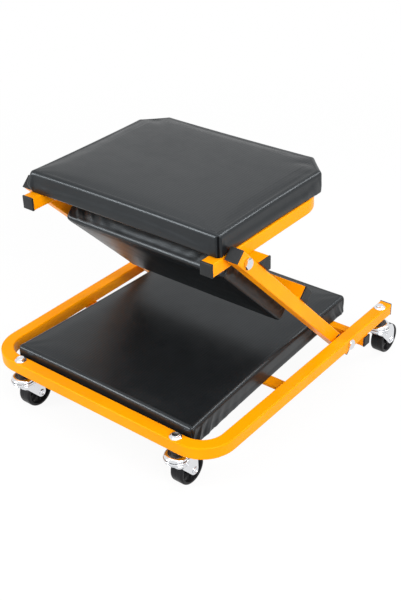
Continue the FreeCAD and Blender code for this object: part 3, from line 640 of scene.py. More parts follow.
def skirt_profile(thickness, rows):
    """Insets and heights up the side of a pad, from the pocket's roof to the shoulder: a line of corners,
    softened by the lower roll below the side and by the shoulder's roll above it."""
    shoulder = thickness - PAD_CROWN
    corners = [
        (POCKET_INSET, POCKET_HEIGHT),
        (POCKET_INSET, 0),
        (0, 0),
        (0, shoulder),
        (2 * SHOULDER_ROLL, shoulder),
    ]
    lower = softened(corners[:4], LOWER_ROLL, 9)[:-1]
    upper = softened(corners[2:], SHOULDER_ROLL, 13)[1:-1]
    return evenly(np.vstack([lower, upper]), rows)


def filled(ring, count):
    """Coons patch: the two ruled fillings between opposite sides, less the plain filling of the corners."""
    closed = np.vstack([ring, ring[:1]])
    front = closed[:count + 1]
    right = closed[count:2 * count + 1]
    back = closed[2 * count:3 * count + 1][::-1]
    left = closed[3 * count:][::-1]
    u = crowded(count)[None, :, None]
    v = crowded(count)[:, None, None]
    lengthways = (1 - v) * front[None] + v * back[None]
    crossways = (1 - u) * left[:, None] + u * right[:, None]
    near = (1 - u) * front[0] + u * front[-1]
    far = (1 - u) * back[0] + u * back[-1]
    return lengthways + crossways - (1 - v) * near - v * far


def dome(count):
    """Rise of a pad's top from 0 at its rim to 1: flat in the middle, by fourth powers across and along."""
    t = 2 * crowded(count) - 1
    return (1 - t[None] ** 4) * (1 - t[:, None] ** 4)


# %% Pad skin
def top_numbers(rows, count):
    """Vertex numbers of the top's net: its rim is the skirt's last row, its inside follows the skirt."""
    around = 4 * count
    rim = np.append(np.arange(around), 0) + (rows - 1) * around
    table = np.zeros((count + 1, count + 1), int)
    table[1:-1, 1:-1] = rows * around + np.arange((count - 1) ** 2).reshape(count - 1, count - 1)
    table[0] = rim[:count + 1]
    table[:, -1] = rim[count:2 * count + 1]
    table[-1] = rim[2 * count:3 * count + 1][::-1]
    table[:, 0] = rim[3 * count:][::-1]
    return table


def pad_skin(plan, outward, profile, count, crown):
    """Skirt (rows, around, 3) and top (count + 1, count + 1, 3) of a pad standing on height zero."""
    skirt_plan = plan[None] - outward[None] * profile[:, :1, None]
    heights = np.repeat(profile[:, 1:, None], len(plan), axis=1)
    skirt = np.concatenate([skirt_plan, heights], axis=-1)
    top = filled(skirt[-1], count)
    top[..., 2] += crown * dome(count)
    return skirt, top


def skin_part(skirt, top):
    """One closed shape from a skirt and a top that share a rim; a flat face is the pocket's roof."""
    rows, around = skirt.shape[:2]
    count = around // 4
    vertices = np.vstack([skirt.reshape(-1, 3), top[1:-1, 1:-1].reshape(-1, 3)])
    index = np.arange(rows * around).reshape(rows, around)
    faces = quads(np.hstack([index, index[:, :1]])).tolist()
    faces += quads(top_numbers(rows, count)).tolist()
    faces.append(index[0][::-1].tolist())
    return vertices, faces


# %% [markdown]
# ## Foam pressing on the cover
# Foam pushes its cover out everywhere except along the stapled underside and the tight edges. A short
# cloth simulation with inner pressure shows how far: the coarse skin swells for twenty frames, its
# movement is capped, and a cubic spline spreads that movement over the fine skin. Pressure alone would
# soften the edges too, so it fades out at the rolled shoulder.

# %% Cloth simulation
SIM_COUNT = 40
SIM_ROWS = 18
SIM_FRAMES = 20
SIM_PRESSURE = 4.0


def swollen(vertices, faces, held):
    """Points of a skin after the cloth has settled under inner pressure, with some points held."""
    mesh = bpy.data.meshes.new("swelling_skin")
    mesh.from_pydata(vertices.tolist(), [], faces)
    skin = bpy.data.objects.new("swelling_skin", mesh)
    bpy.context.scene.collection.objects.link(skin)
    group = skin.vertex_groups.new(name="held")
    group.add(np.flatnonzero(held).tolist(), 1.0, "REPLACE")
    cloth = skin.modifiers.new("Cloth", "CLOTH")
    cloth.settings.quality = 6
    cloth.settings.mass = 0.25
    cloth.settings.tension_stiffness = 40
    cloth.settings.compression_stiffness = 40
    cloth.settings.shear_stiffness = 15
    cloth.settings.bending_stiffness = 1.5
    cloth.settings.use_pressure = True
    cloth.settings.uniform_pressure_force = SIM_PRESSURE
    cloth.settings.vertex_group_mass = "held"
    cloth.settings.effector_weights.gravity = 0
    cloth.collision_settings.use_collision = False
    cloth.point_cache.frame_start = 1
    cloth.point_cache.frame_end = SIM_FRAMES
    scene = bpy.context.scene
    for moment in range(1, SIM_FRAMES + 1):
        scene.frame_set(moment)
    settled = skin.evaluated_get(bpy.context.evaluated_depsgraph_get())
    flat = np.zeros(len(vertices) * 3, np.float32)
    settled.data.vertices.foreach_get("co", flat)
    bpy.data.objects.remove(skin)
    bpy.data.meshes.remove(mesh)
    scene.frame_set(1)
    return flat.reshape(-1, 3).astype(float)


# %% Swelling on the fine skin
SIM_CROWN = 0.3 * PAD_CROWN
SWELL_CAP = 2.4 * MM
SIDE_SHARE = 0.35
SHOULDER_FADE = 10


def spline_reader(count, wanted):
    """Matrix that reads a row of values at more places, with the weights of a uniform cubic B-spline."""
    place = np.linspace(0, count - 1, wanted)
    first = np.floor(place).astype(int)
    f = place - first
    weights = np.stack([
        (1 - f) ** 3,
        3 * f ** 3 - 6 * f ** 2 + 4,
        1 + 3 * f + 3 * f ** 2 - 3 * f ** 3,
        f ** 3,
    ])
    matrix = np.zeros((wanted, count))
    for offset in range(4):
        column = np.clip(first + offset - 1, 0, count - 1)
        np.add.at(matrix, (np.arange(wanted), column), weights[offset] / 6)
    return matrix


def finer(field, rows, columns):
    """A field (rows, columns, 3) read on a finer net."""
    across = spline_reader(field.shape[1], columns)
    down = spline_reader(field.shape[0], rows)
    return np.einsum("ri,cj,ijk->rck", down, across, field)


def swelling(corners, marks, thickness, rows, count):
    """How far foam moves each point of the fine skirt and top: capped, and nothing at the shoulder."""
    plan, outward, _, _ = border(corners, marks, SIM_COUNT)
    skirt, top = pad_skin(plan, outward, skirt_profile(thickness, SIM_ROWS), SIM_COUNT, SIM_CROWN)
    vertices, faces = skin_part(skirt, top)
    held = np.zeros(len(vertices), bool)
    held[:skirt.shape[0] * skirt.shape[1]] = skirt[..., 2].ravel() < LOWER_ROLL
    shift = swollen(vertices, faces, held) - vertices
    length = np.linalg.norm(shift, axis=1, keepdims=True)
    shift *= np.minimum(1, SWELL_CAP / np.maximum(length, 1e-9))
    print("  swelled by up to", round(float(length.max()) / MM, 1), "mm before the cap")
    around = 4 * SIM_COUNT
    side = shift[:SIM_ROWS * around].reshape(SIM_ROWS, around, 3)
    side = finer(np.hstack([side, side[:, :1]]), rows, 4 * count + 1)[:, :-1]
    crown = finer(shift[top_numbers(SIM_ROWS, SIM_COUNT)], count + 1, count + 1)
    up = np.linspace(0, 1, rows)[:, None, None]
    return SIDE_SHARE * side * (1 - up ** SHOULDER_FADE), crown * np.sqrt(dome(count))[..., None]


# %% [markdown]
# ## Wrapped corners
# At a corner the spare vinyl is folded against the side, like paper round a parcel. Three shapes make up
# what shows: a tuck, which is a groove with a lip beside it; an ear, where the fold stands out near the
# lower edge; and soft pleats that run up from the staples. Sewn corners would show a seam instead.

# %% Corner folds
TUCK_REACH = 12 * MM
TUCK_END = (0.82, 0.98)
EAR_SET = 3.5 * MM
EAR_WIDTH = 6 * MM
EAR_LEVEL = 0.3
PLEAT_PITCH = 23 * MM
PLEAT_REACH = 40 * MM
PLEAT_SLANT = 17 * MM
PLEAT_START = (-2 * MM, 6 * MM)
PLEAT_END = (0.35, 0.97)


def smooth_step(value, low, high):
    """Rise from 0 to 1 between two values, level at both ends."""
    t = np.clip((value - low) / (high - low), 0, 1)
    return t * t * (3 - 2 * t)


def tuck(along, level, depth):
    """Groove at the corner, a bell curve about half as wide as deep, and past it a lip that dies away."""
    width = 0.55 * depth
    groove = -depth * np.exp(-(along / width) ** 2)
    lip = 0.2 * depth * smooth_step(along, width, 2.4 * width) * np.exp(-np.maximum(along, 0) / TUCK_REACH)
    return (1 - smooth_step(level, *TUCK_END)) * (groove + lip)


def ear(along, level, depth):
    """Fold that stands out past the corner: a bell curve along the side, a rounded peak up it."""
    rise = np.minimum(np.maximum(level, 0) / EAR_LEVEL, (1 - level) / (1 - EAR_LEVEL))
    return depth * np.exp(-((along - EAR_SET) / EAR_WIDTH) ** 2) * smooth_step(rise, -0.1, 1.05)


def pleats(along, level, depth):
    """Slanting waves along the side past the corner, two cosines, deepest at the lower edge and dying
    away up the side and along it."""
    place = along - PLEAT_SLANT * level
    wave = np.cos(2 * np.pi * place / PLEAT_PITCH) - 0.35 * np.cos(5 * np.pi * place / PLEAT_PITCH)
    fade = np.exp(-np.abs(along) / PLEAT_REACH) * smooth_step(along, *PLEAT_START)
    return -depth * wave * fade * (1 - smooth_step(level, *PLEAT_END))


# %% Slow waves
WAVE_COUNT = 7
WAVE_SHORT = 60 * MM
WAVE_LONG = 170 * MM


def undulation(points, seed, height):
    """Slow waves over a cover: the mean of sines with seeded directions, lengths and phases."""
    draw = np.random.default_rng(seed)
    angle = draw.uniform(0, np.pi, WAVE_COUNT)
    wave = 2 * np.pi / draw.uniform(WAVE_SHORT, WAVE_LONG, WAVE_COUNT)
    phase = draw.uniform(0, 2 * np.pi, WAVE_COUNT)
    aim = np.stack([np.cos(angle), np.sin(angle)]) * wave
    return height * np.sin(points[..., :2] @ aim + phase).mean(axis=-1)


# %% [markdown]
# ## The three pads
# All pads are made alike. The lower pad and the seat pad lie level, and the middle pad is drawn on the flat
# bed and raised. Each carries a flat map in metres for the ridges in its vinyl. Sculpting would give such
# covers too, but a formula keeps the three alike and follows the solids when their sizes change.

# %% Valley and flat map
PAD_COUNT = 132
LYING_ROWS = 8
VALLEY_DEPTH = 0.3 * MM
VALLEY_PLACE = 5.5 * MM
VALLEY_WIDTH = 2.8 * MM


def valley(plan):
    """Shallow dip inside the firm edge of a pad's top: a bell curve of the distance from each side."""
    size = plan.max(axis=0) - plan.min(axis=0)
    left_open = 1.0
    for t, length in ((crowded(PAD_COUNT)[None], size[0]), (crowded(PAD_COUNT)[:, None], size[1])):
        for share in (t, 1 - t):
            left_open = left_open * (1 - np.exp(-((share * length - VALLEY_PLACE) / VALLEY_WIDTH) ** 2))
    return VALLEY_DEPTH * (left_open - 1) * np.minimum(1, 6 * dome(PAD_COUNT))


def flat_map(mesh, skirt_shape, plan, top):
    """UV map in metres: plan places on the top, and on the skirt the outline's. A value on the points,
    called lying, is 1 on the top and falls to 0 over the last rows of the skirt."""
    layer = mesh.uv_layers.new(name="flat")
    loops = np.zeros(len(mesh.loops), int)
    mesh.loops.foreach_get("vertex_index", loops)
    rows, around = skirt_shape
    uv = np.vstack([np.tile(plan, (rows, 1)), top[1:-1, 1:-1, :2].reshape(-1, 2)])
    layer.data.foreach_set("uv", uv[loops].astype(np.float32).ravel())
    climb = np.repeat(smooth_step(np.arange(rows), rows - LYING_ROWS, rows - 1), around)
    lying = np.concatenate([climb, np.ones(len(mesh.vertices) - rows * around)])
    mesh.attributes.new("lying", "FLOAT", "POINT").data.foreach_set("value", lying.astype(np.float32))


# %% A covered pad
PAD_ROWS = 60
COVER_CROWN = 0.4 * PAD_CROWN
WAVE_HEIGHT = 0.3 * MM
SIDE_WAVE_HEIGHT = 0.6 * WAVE_HEIGHT


def make_pad(name, corners, marks, bottom, thickness, body, folds, seed, place=None):
    """A covered pad: outline, skin, swelling, folds and waves, then its place and its body. A fold is its
    shape, the mark that it starts from, the way round that it goes, and its depth."""
    plan, outward, run, ends = border(corners, marks, PAD_COUNT)
    profile = skirt_profile(thickness, PAD_ROWS)
    skirt, top = pad_skin(plan, outward, profile, PAD_COUNT, COVER_CROWN)
    side_shift, top_shift = swelling(corners, marks, thickness, PAD_ROWS, PAD_COUNT)
    skirt += side_shift
    top += top_shift
    level = (profile[:, 1] / (thickness - PAD_CROWN))[:, None]
    outer = (profile[:, 0] < POCKET_INSET / 2)[:, None]
    shift = undulation(skirt, seed, SIDE_WAVE_HEIGHT) * (1 - level ** 4)
    for shape, index, turn, depth in folds:
        away = (run - ends[index] + ends[-1] / 2) % ends[-1] - ends[-1] / 2
        shift = shift + shape(turn * away[None], level, depth)
    skirt[..., :2] += outward[None] * (shift * outer)[..., None]
    top[..., 2] += undulation(top, seed + 3, WAVE_HEIGHT) * np.sqrt(dome(PAD_COUNT)) + valley(plan)
    vertices, faces = skin_part(skirt, top)
    vertices[:, 2] += bottom
    if place is not None:
        vertices = place(vertices)
    mesh = bpy.data.meshes.new(name + "_cover")
    mesh.from_pydata(vertices.tolist(), [], faces)
    mesh.shade_smooth()
    flat_map(mesh, skirt.shape[:2], plan, top)
    mesh.materials.append(VINYL)
    pad = bpy.data.objects.new(name + "_cover", mesh)
    bpy.context.scene.collection.objects.link(pad)
    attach(pad, body)
    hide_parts(name)
    print(pad.name, len(mesh.polygons), "faces")


def level_corners(*points):
    """Corner points in plan as arrays, going round to the left."""
    return [np.array(point) for point in points]


# %% [markdown]
# ### Lower pad
# The lower pad is wider in front than behind. Its tucks lie on the sides, and the deepest pleats are on the
# right, next to the front corner.

# %% Lower pad
LOWER_LOW, LOWER_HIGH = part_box("lower_pad")
LOWER_WIDE = 173 * MM
LOWER_NARROW = 156 * MM
LOWER_CORNERS = level_corners(
    (-LOWER_WIDE, LOWER_LOW.y),
    (LOWER_WIDE, LOWER_LOW.y),
    (LOWER_NARROW, LOWER_HIGH.y),
    (-LOWER_NARROW, LOWER_HIGH.y),
)
LOWER_THICKNESS = LOWER_HIGH.z - LOWER_LOW.z
LOWER_FOLDS = [
    (tuck, 0, -1, 1.6 * MM),
    (tuck, 1, 1, 1.8 * MM),
    (pleats, 1, 1, 2.2 * MM),
    (pleats, 0, -1, 1.0 * MM),
    (tuck, 2, -1, 1.5 * MM),
    (pleats, 2, -1, 0.9 * MM),
    (tuck, 3, 1, 1.5 * MM),
    (pleats, 3, 1, 0.9 * MM),
]
LOWER_SEED = 9
make_pad("lower_pad", LOWER_CORNERS, LOWER_CORNERS, LOWER_LOW.z, LOWER_THICKNESS, "base",
         LOWER_FOLDS, LOWER_SEED)

# %% [markdown]
# ### Middle pad
# The middle pad hangs on the arms' cross tube. It is drawn as it lies on the flat bed, where its sides run
# along the axes, and turned up afterwards. Its far end shows under the seat, so it has pleats too.

# %% Middle pad, drawn flat and raised
MIDDLE_HALF = 149 * MM
MIDDLE_NEAR = PIVOT[1] + 104 * MM
MIDDLE_FAR = PIVOT[1] + 305 * MM
MIDDLE_BOTTOM = PIVOT[2] - 10 * MM
MIDDLE_THICKNESS = 35 * MM
MIDDLE_CORNERS = level_corners(
    (-MIDDLE_HALF, MIDDLE_NEAR),
    (MIDDLE_HALF, MIDDLE_NEAR),
    (MIDDLE_HALF, MIDDLE_FAR),
    (-MIDDLE_HALF, MIDDLE_FAR),
)
MIDDLE_FOLDS = [
    (tuck, 0, -1, 1.6 * MM),
    (pleats, 0, -1, 0.5 * MM),
    (tuck, 1, 1, 1.6 * MM),
    (pleats, 1, 1, 0.5 * MM),
    (tuck, 2, -1, 1.8 * MM),
    (pleats, 2, -1, 0.5 * MM),
    (tuck, 3, 1, 1.8 * MM),
    (pleats, 3, 1, 0.5 * MM),
    (pleats, 2, 1, 1.2 * MM),
    (pleats, 3, -1, 2.0 * MM),
]
MIDDLE_SEED = 10
make_pad("middle_pad", MIDDLE_CORNERS, MIDDLE_CORNERS, MIDDLE_BOTTOM, MIDDLE_THICKNESS, "arms",
         MIDDLE_FOLDS, MIDDLE_SEED, raised)

# %% [markdown]
# ### Seat pad
# The seat pad is the head end of the bed, with two corners cut off behind. The marks that part its outline
# into four sides lie in the middle of the cuts. Its left front fold stands out as an ear.

# %% Seat pad, with two cut corners behind
SEAT_LOW, SEAT_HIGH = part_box("seat_pad")
SEAT_HALF = 173 * MM
SEAT_CUT = 36 * MM
SEAT_CORNERS = level_corners(
    (-SEAT_HALF, SEAT_LOW.y),
    (SEAT_HALF, SEAT_LOW.y),
    (SEAT_HALF, SEAT_HIGH.y - SEAT_CUT),
    (SEAT_HALF - SEAT_CUT, SEAT_HIGH.y),
    (-SEAT_HALF + SEAT_CUT, SEAT_HIGH.y),
    (-SEAT_HALF, SEAT_HIGH.y - SEAT_CUT),
)
SEAT_MARKS = SEAT_CORNERS[:2] + [
    (SEAT_CORNERS[2] + SEAT_CORNERS[3]) / 2,
    (SEAT_CORNERS[4] + SEAT_CORNERS[5]) / 2,
]
SEAT_THICKNESS = SEAT_HIGH.z - SEAT_LOW.z
SEAT_FOLDS = [
    (tuck, 1, 1, 4.5 * MM),
    (tuck, 0, 1, 1.5 * MM),
    (ear, 0, -1, 7.5 * MM),
    (pleats, 2, -1, 0.6 * MM),
    (pleats, 3, 1, 0.6 * MM),
]
SEAT_SEED = 8
make_pad("seat_pad", SEAT_CORNERS, SEAT_MARKS, SEAT_LOW.z, SEAT_THICKNESS, "seat",
         SEAT_FOLDS, SEAT_SEED)

# %% [markdown]
# ## Hem and staples
# Under each pad the vinyl is turned in over the edge of the board and stapled down. The hem is a thin
# band: one closed section carried round the outline, each ring a scaled copy of the last, so that it
# never crosses itself in the corners. Staples repeat along it, each a small flattened wire.

# %% Hem band
HEM_WIDTH = 24 * MM
HEM_THICKNESS = 0.25 * MM
HEM_START = 1.5 * MM
HEM_SUNK = 0.2 * MM
HEM_RIPPLE = 1.2 * MM


def scaled_in(plan, inset):
    """Outline drawn towards its middle, by the inset across its narrower way."""
    low = plan.min(axis=0)
    high = plan.max(axis=0)
    middle = (low + high) / 2
    return middle + (plan - middle) * (1 - inset / ((high - low) / 2).min())


def hem_band(plan, run, seed):
    """Band under the pad: a flat section of six points, rippled a little along the run."""
    ripple = undulation(np.column_stack([run, run]), seed, HEM_RIPPLE)[:, None]
    section = [
        (HEM_START, HEM_SUNK),
        (HEM_START + 0.4 * MM, -0.7 * HEM_THICKNESS),
        (HEM_START + 3 * MM, -HEM_THICKNESS),
        (HEM_WIDTH - 1 * MM, -HEM_THICKNESS),
        (HEM_WIDTH, -0.5 * HEM_THICKNESS),
        (HEM_WIDTH, HEM_SUNK),
    ]
    rings = np.stack([
        np.column_stack([scaled_in(plan, inset), np.full(len(plan), height)])
        for inset, height in section
    ], axis=1)
    rings[:, 3:, :2] += np.column_stack([-plan[:, 1], plan[:, 0]])[:, None] * ripple[:, None]
    return grid(rings, round_columns=True, round_rows=True)


# %% Staples
STAPLE_INSET = 13 * MM
STAPLE_PITCH = 34 * MM
STAPLE_LENGTH = 11 * MM
STAPLE_WIDTH = 1.3 * MM
STAPLE_HEIGHT = 0.6 * MM
STAPLE_SLANT = 0.12


def staple():
    """One staple lying along X under height zero: a bowed wire whose ends turn up into the board."""
    t = np.linspace(-1, 1, 9)
    middle = np.column_stack([t * STAPLE_LENGTH / 2, 0 * t, STAPLE_HEIGHT * (2.2 * t ** 8 - 0.6)])
    turn = np.linspace(0, 2 * np.pi, 8, endpoint=False)
    ring = np.column_stack([0 * turn, np.cos(turn) * STAPLE_WIDTH / 2, np.sin(turn) * STAPLE_HEIGHT / 2])
    return tube(middle[:, None] + ring[None])


def staples(plan, seed, last_y):
    """Staples at equal steps of the hem, each turned along it with a little seeded slant. None lies
    behind the last place along Y, where something passes close under the pad."""
    line = scaled_in(plan, STAPLE_INSET)
    line = np.vstack([line, line[:1]])
    count = int(run_of(line)[-1] / STAPLE_PITCH)
    spots = evenly(line, count + 1)
    along = np.diff(spots, axis=0)
    slant = np.random.default_rng(seed).normal(0, STAPLE_SLANT, count)
    angle = np.arctan2(along[:, 1], along[:, 0]) + slant
    wire_points, wire_faces = staple()
    c = np.cos(angle)[:, None]
    s = np.sin(angle)[:, None]
    x = spots[:-1, :1] + wire_points[None, :, 0] * c - wire_points[None, :, 1] * s
    y = spots[:-1, 1:] + wire_points[None, :, 0] * s + wire_points[None, :, 1] * c
    z = np.repeat(wire_points[None, :, 2] - HEM_THICKNESS, count, axis=0)
    points = np.stack([x, y, z], axis=-1)[spots[:-1, 1] < last_y]
    return joined([(one, wire_faces) for one in points])


# %% Three hems
HEM_COUNT = 60
SEAT_STOP_Y = PIVOT[1] + 282 * MM


def make_hem(name, corners, marks, bottom, body, seed, place=None, last_y=math.inf):
    """Hem and staples of one pad, put under it and raised with it where it is raised."""
    plan, _, run, _ = border(corners, marks, HEM_COUNT)
    shapes = {
        "hem": (hem_band(plan, run, seed), VINYL, "black_vinyl"),
        "staples": (staples(plan, seed, last_y), ZINC, "zinc"),
    }
    for kind, (part, material, slot) in shapes.items():
        points = part[0] + np.array([0, 0, bottom])
        if place is not None:
            points = place(points)
        new_piece(f"{name}_{kind}", (points, part[1]), material, body)


LOWER_HEM_SEED, MIDDLE_HEM_SEED, SEAT_HEM_SEED = 11, 12, 13
make_hem("lower_pad", LOWER_CORNERS, LOWER_CORNERS, LOWER_LOW.z, "base", LOWER_HEM_SEED)
make_hem("middle_pad", MIDDLE_CORNERS, MIDDLE_CORNERS, MIDDLE_BOTTOM, "arms", MIDDLE_HEM_SEED,
         raised, SEAT_STOP_Y)
make_hem("seat_pad", SEAT_CORNERS, SEAT_MARKS, SEAT_LOW.z, "seat", SEAT_HEM_SEED)

# %% [markdown]
# ## Bolts, nuts and screws
# A bolt head is drawn round its axis: at each angle the hexagon's radius is half its flats over the
# cosine of the angle to the nearest flat, and a shallow cone cuts the corners off at the top, as on a
# cold-headed bolt. The casters' bolts stand on a flange, the pivots' bolts on a plain washer face. A
# hexagonal prism alone would lack the bright rim.

# %% Hexagons round an axis
AROUND = 72
ANGLES = np.linspace(0, 2 * np.pi, AROUND, endpoint=False)
CONE = math.tan(math.radians(30))
FACE_SHARE = 0.48


def hexagon_radius(flats):
    """Distance from the middle to a hexagon's side at each angle."""
    from_flat = (ANGLES + np.pi / 6) % (np.pi / 3) - np.pi / 6
    return flats / 2 / np.cos(from_flat)


def round_shape(rows, ring=False):
    """Shape about Z from rows of (radius, height), each one number or one value for each angle."""
    radius = np.stack([np.broadcast_to(row[0], AROUND) for row in rows])
    height = np.stack([np.broadcast_to(row[1], AROUND) for row in rows])
    points = np.stack([radius * np.cos(ANGLES), radius * np.sin(ANGLES), height], axis=-1)
    return grid(points, round_columns=True, round_rows=ring)


# %% Bolt heads
BOLT_FLANGE = 18 * MM
BOLT_FLATS = 11 * MM
BOLT_HEAD = 4.5 * MM
PLAIN_FLATS = 14 * MM
PLAIN_HEAD = 4.5 * MM


def bolt_head():
    """Flanged hexagon head on height zero, with a coned rim and a shallow dished top."""
    hexagon = hexagon_radius(BOLT_FLATS)
    face = FACE_SHARE * BOLT_FLATS
    rim = BOLT_HEAD - (hexagon - face) * CONE
    return round_shape([
        (0, 0),
        (BOLT_FLANGE / 2, 0),
        (BOLT_FLANGE / 2, 0.6 * MM),
        (BOLT_FLANGE / 2 - 0.5 * MM, 1.0 * MM),
        (hexagon + 0.7 * MM, 1.8 * MM),
        (hexagon, 2.2 * MM),
        (hexagon, rim),
        (face, BOLT_HEAD),
        (0.8 * face, BOLT_HEAD),
        (0.7 * face, BOLT_HEAD - 0.2 * MM),
        (0, BOLT_HEAD - 0.2 * MM),
    ])


def plain_head():
    """Hexagon head without a flange, on a round washer face, with a coned rim and a flat top."""
    hexagon = hexagon_radius(PLAIN_FLATS)
    face = FACE_SHARE * PLAIN_FLATS
    return round_shape([
        (0, 0),
        (face, 0),
        (face, 0.5 * MM),
        (hexagon, 0.5 * MM),
        (hexagon, PLAIN_HEAD - (hexagon - face) * CONE),
        (face, PLAIN_HEAD),
        (0, PLAIN_HEAD),
    ])


# %% Shank and lock nut
BOLT = 8 * MM
SHANK_TIP = 0.8 * MM
SHANK_SUNK = 0.2 * MM
NUT_BORE = BOLT + 0.2 * MM
NUT_FLATS = 13 * MM
NUT_HEIGHT = 7 * MM
COLLAR_SHARE = 0.72


def shank(length):
    """Plain shank from just inside the head down, with a chamfered tip."""
    return round_shape([
        (0, SHANK_SUNK),
        (BOLT / 2, SHANK_SUNK),
        (BOLT / 2, -length + SHANK_TIP),
        (BOLT / 2 - SHANK_TIP, -length),
        (0, -length),
    ])


def lock_nut():
    """Hexagon nut standing on height zero, with coned ends and a round collar for its locking ring."""
    hexagon = hexagon_radius(NUT_FLATS)
    face = FACE_SHARE * NUT_FLATS
    collar = COLLAR_SHARE * NUT_HEIGHT
    return round_shape([
        (NUT_BORE / 2, 0),
        (face, 0),
        (hexagon, (hexagon - face) * CONE),
        (hexagon, collar - (hexagon - face) * CONE),
        (face, collar),
        (0.86 * face, collar + 0.3 * MM),
        (0.84 * face, NUT_HEIGHT - 0.6 * MM),
        (0.72 * face, NUT_HEIGHT),
        (NUT_BORE / 2, NUT_HEIGHT),
    ], ring=True)


# %% [markdown]
# ### Pivots
# Each pivot is a bolt from outside with a lock nut inside. The lower pair sits in the base and the upper
# pair in the seat's tubes, and their places come from the joints. A pair is one piece, because both
# sides ride on the same body.

# %% Pivot bolts and nuts
FINE = math.radians(25)
ARM_IN = 177 * MM
SEAT_TUBE_IN = 154 * MM
RUNNING_GAP = 0.3 * MM
BOLT_TIP = 1.0 * MM
UPPER = np.array(JOINTS["seat_level"]["pos_m"])


def pivot_pieces(name, body, centre, head_x, nut_x):
    """Bolts and nuts of one pair of pivots, right and left."""
    bolts = []
    nuts = []
    length = head_x - nut_x + NUT_HEIGHT + BOLT_TIP
    for hand in (1, -1):
        outwards = axes_along((hand, 0, 0))
        head = centre + np.array([hand * head_x, 0, 0])
        bolts += [moved(plain_head(), head, outwards), moved(shank(length), head, outwards)]
        inwards = axes_along((-hand, 0, 0))
        nuts.append(moved(lock_nut(), centre + np.array([hand * nut_x, 0, 0]), inwards))
    new_piece(f"{name}_bolts_fine", joined(bolts), ZINC, body, [f"{name}_bolts"], FINE)
    new_piece(f"{name}_nuts_fine", joined(nuts), ZINC, body, [f"{name}_nuts"], FINE)


BASE_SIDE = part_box("base_frame")[1].x
ARM_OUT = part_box("arm_right")[1].x
pivot_pieces("lower_pivot", "base", PIVOT, BASE_SIDE, ARM_IN - RUNNING_GAP)
pivot_pieces("upper_pivot", "seat", UPPER, ARM_OUT + RUNNING_GAP, SEAT_TUBE_IN)

# %% [markdown]
# ### Pad screws
# The pads are held by pan-head screws from below. A screw's cross recess is a dip in the head: deep where
# a point lies near either axis of the cross, and only within the middle of the head. Cutting the recess
# with a Boolean would leave ragged faces on such a small piece.

# %% Screw shape
SCREW = 4 * MM
SCREW_HEAD = 8 * MM
SCREW_HEAD_HEIGHT = 2.5 * MM
SCREW_BITE = 6 * MM
RECESS = 1.2 * MM


def pan_screw(length):
    """Screw pointing up from height zero, its domed head hanging below with a cross recess."""
    share = np.linspace(0, 1, 22)[:, None]
    x = share * np.cos(ANGLES)
    y = share * np.sin(ANGLES)
    dome_height = SCREW_HEAD_HEIGHT * (1 - 0.75 * share ** 4)
    near_axis = np.minimum(np.abs(x), np.abs(y))
    recess = RECESS * (1 - smooth_step(near_axis, 0.08, 0.16)) * (1 - smooth_step(share, 0.42, 0.55))
    bottom = np.stack([x * SCREW_HEAD / 2, y * SCREW_HEAD / 2, recess - dome_height], axis=-1)
    rows = np.array([(SCREW_HEAD / 2, 0), (SCREW / 2, 0), (SCREW / 2, length - 2 * MM), (0, length)])
    return grid(np.vstack([bottom, turned(rows, AROUND)]), round_columns=True)


# %% Pad screws
TUBE = 20 * MM
LOWER_SCREW_X = 100 * MM
MIDDLE_SCREW_X = 90 * MM
SEAT_SCREW_X = 161 * MM
CARRIER_Y = PIVOT[1] + 160.5 * MM
SEAT_SCREW_Y = (UPPER[1] + 90 * MM, UPPER[1] + 155 * MM)


def screw_piece(name, body, spots, length, place=None):
    """The screws of one pad as one piece, raised with it where it is raised."""
    points, faces = joined([moved(pan_screw(length), spot) for spot in spots])
    if place is not None:
        points = place(points)
    new_piece(f"{name}_fine", (points, faces), ZINC, body, [name])


def mean_of(node_name, axis):
    """Middle of a solid's box along one axis."""
    low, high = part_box(node_name)
    return (low[axis] + high[axis]) / 2


STRIP_LOW, STRIP_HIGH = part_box("base_front_strip")
BAR_LOW, BAR_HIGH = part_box("base_stop_bar")
strip_y = mean_of("base_front_strip", 1)
bar_y = mean_of("base_stop_bar", 1)
lower_spots = [(x, strip_y, STRIP_LOW.z) for x in (-LOWER_SCREW_X, LOWER_SCREW_X)]
lower_spots += [(x, bar_y, BAR_LOW.z) for x in (-LOWER_SCREW_X, LOWER_SCREW_X)]
screw_piece("lower_pad_screws", "base", lower_spots, LOWER_LOW.z - STRIP_LOW.z + SCREW_BITE)
middle_spots = [(x, CARRIER_Y, MIDDLE_BOTTOM - TUBE) for x in (-MIDDLE_SCREW_X, MIDDLE_SCREW_X)]
screw_piece("middle_pad_screws", "arms", middle_spots, TUBE + SCREW_BITE, raised)
seat_spots = [(x, y, SEAT_LOW.z - TUBE) for x in (-SEAT_SCREW_X, SEAT_SCREW_X) for y in SEAT_SCREW_Y]
screw_piece("seat_pad_screws", "seat", seat_spots, TUBE + SCREW_BITE)

# %% [markdown]
# ## Casters
# A swivel caster is a bolt, a flanged nut, an upper dish, a ring of balls, and a fork pressed from one sheet
# whose crown is the lower dish. The wheel runs on a rivet behind the swivel axis. Each caster is drawn
# once about its own mount, and copies go to the six mounts, which the swivel joints give.

# %% Caster sizes
CASTERS = [name[:-len("_turn")] for name in JOINTS if name.endswith("_turn")]
MOUNTS = {name: np.array(JOINTS[name + "_turn"]["pos_m"]) for name in CASTERS}
FIRST = CASTERS[0]
AXLE = np.array(JOINTS[FIRST + "_spin"]["pos_m"]) - MOUNTS[FIRST]
DISH_TOP = -8 * MM
CROWN_FOOT = -20.5 * MM
SHEET = 2.2 * MM
print(len(CASTERS), "casters, axle at", np.round(AXLE / MM, 1), "mm from the mount")


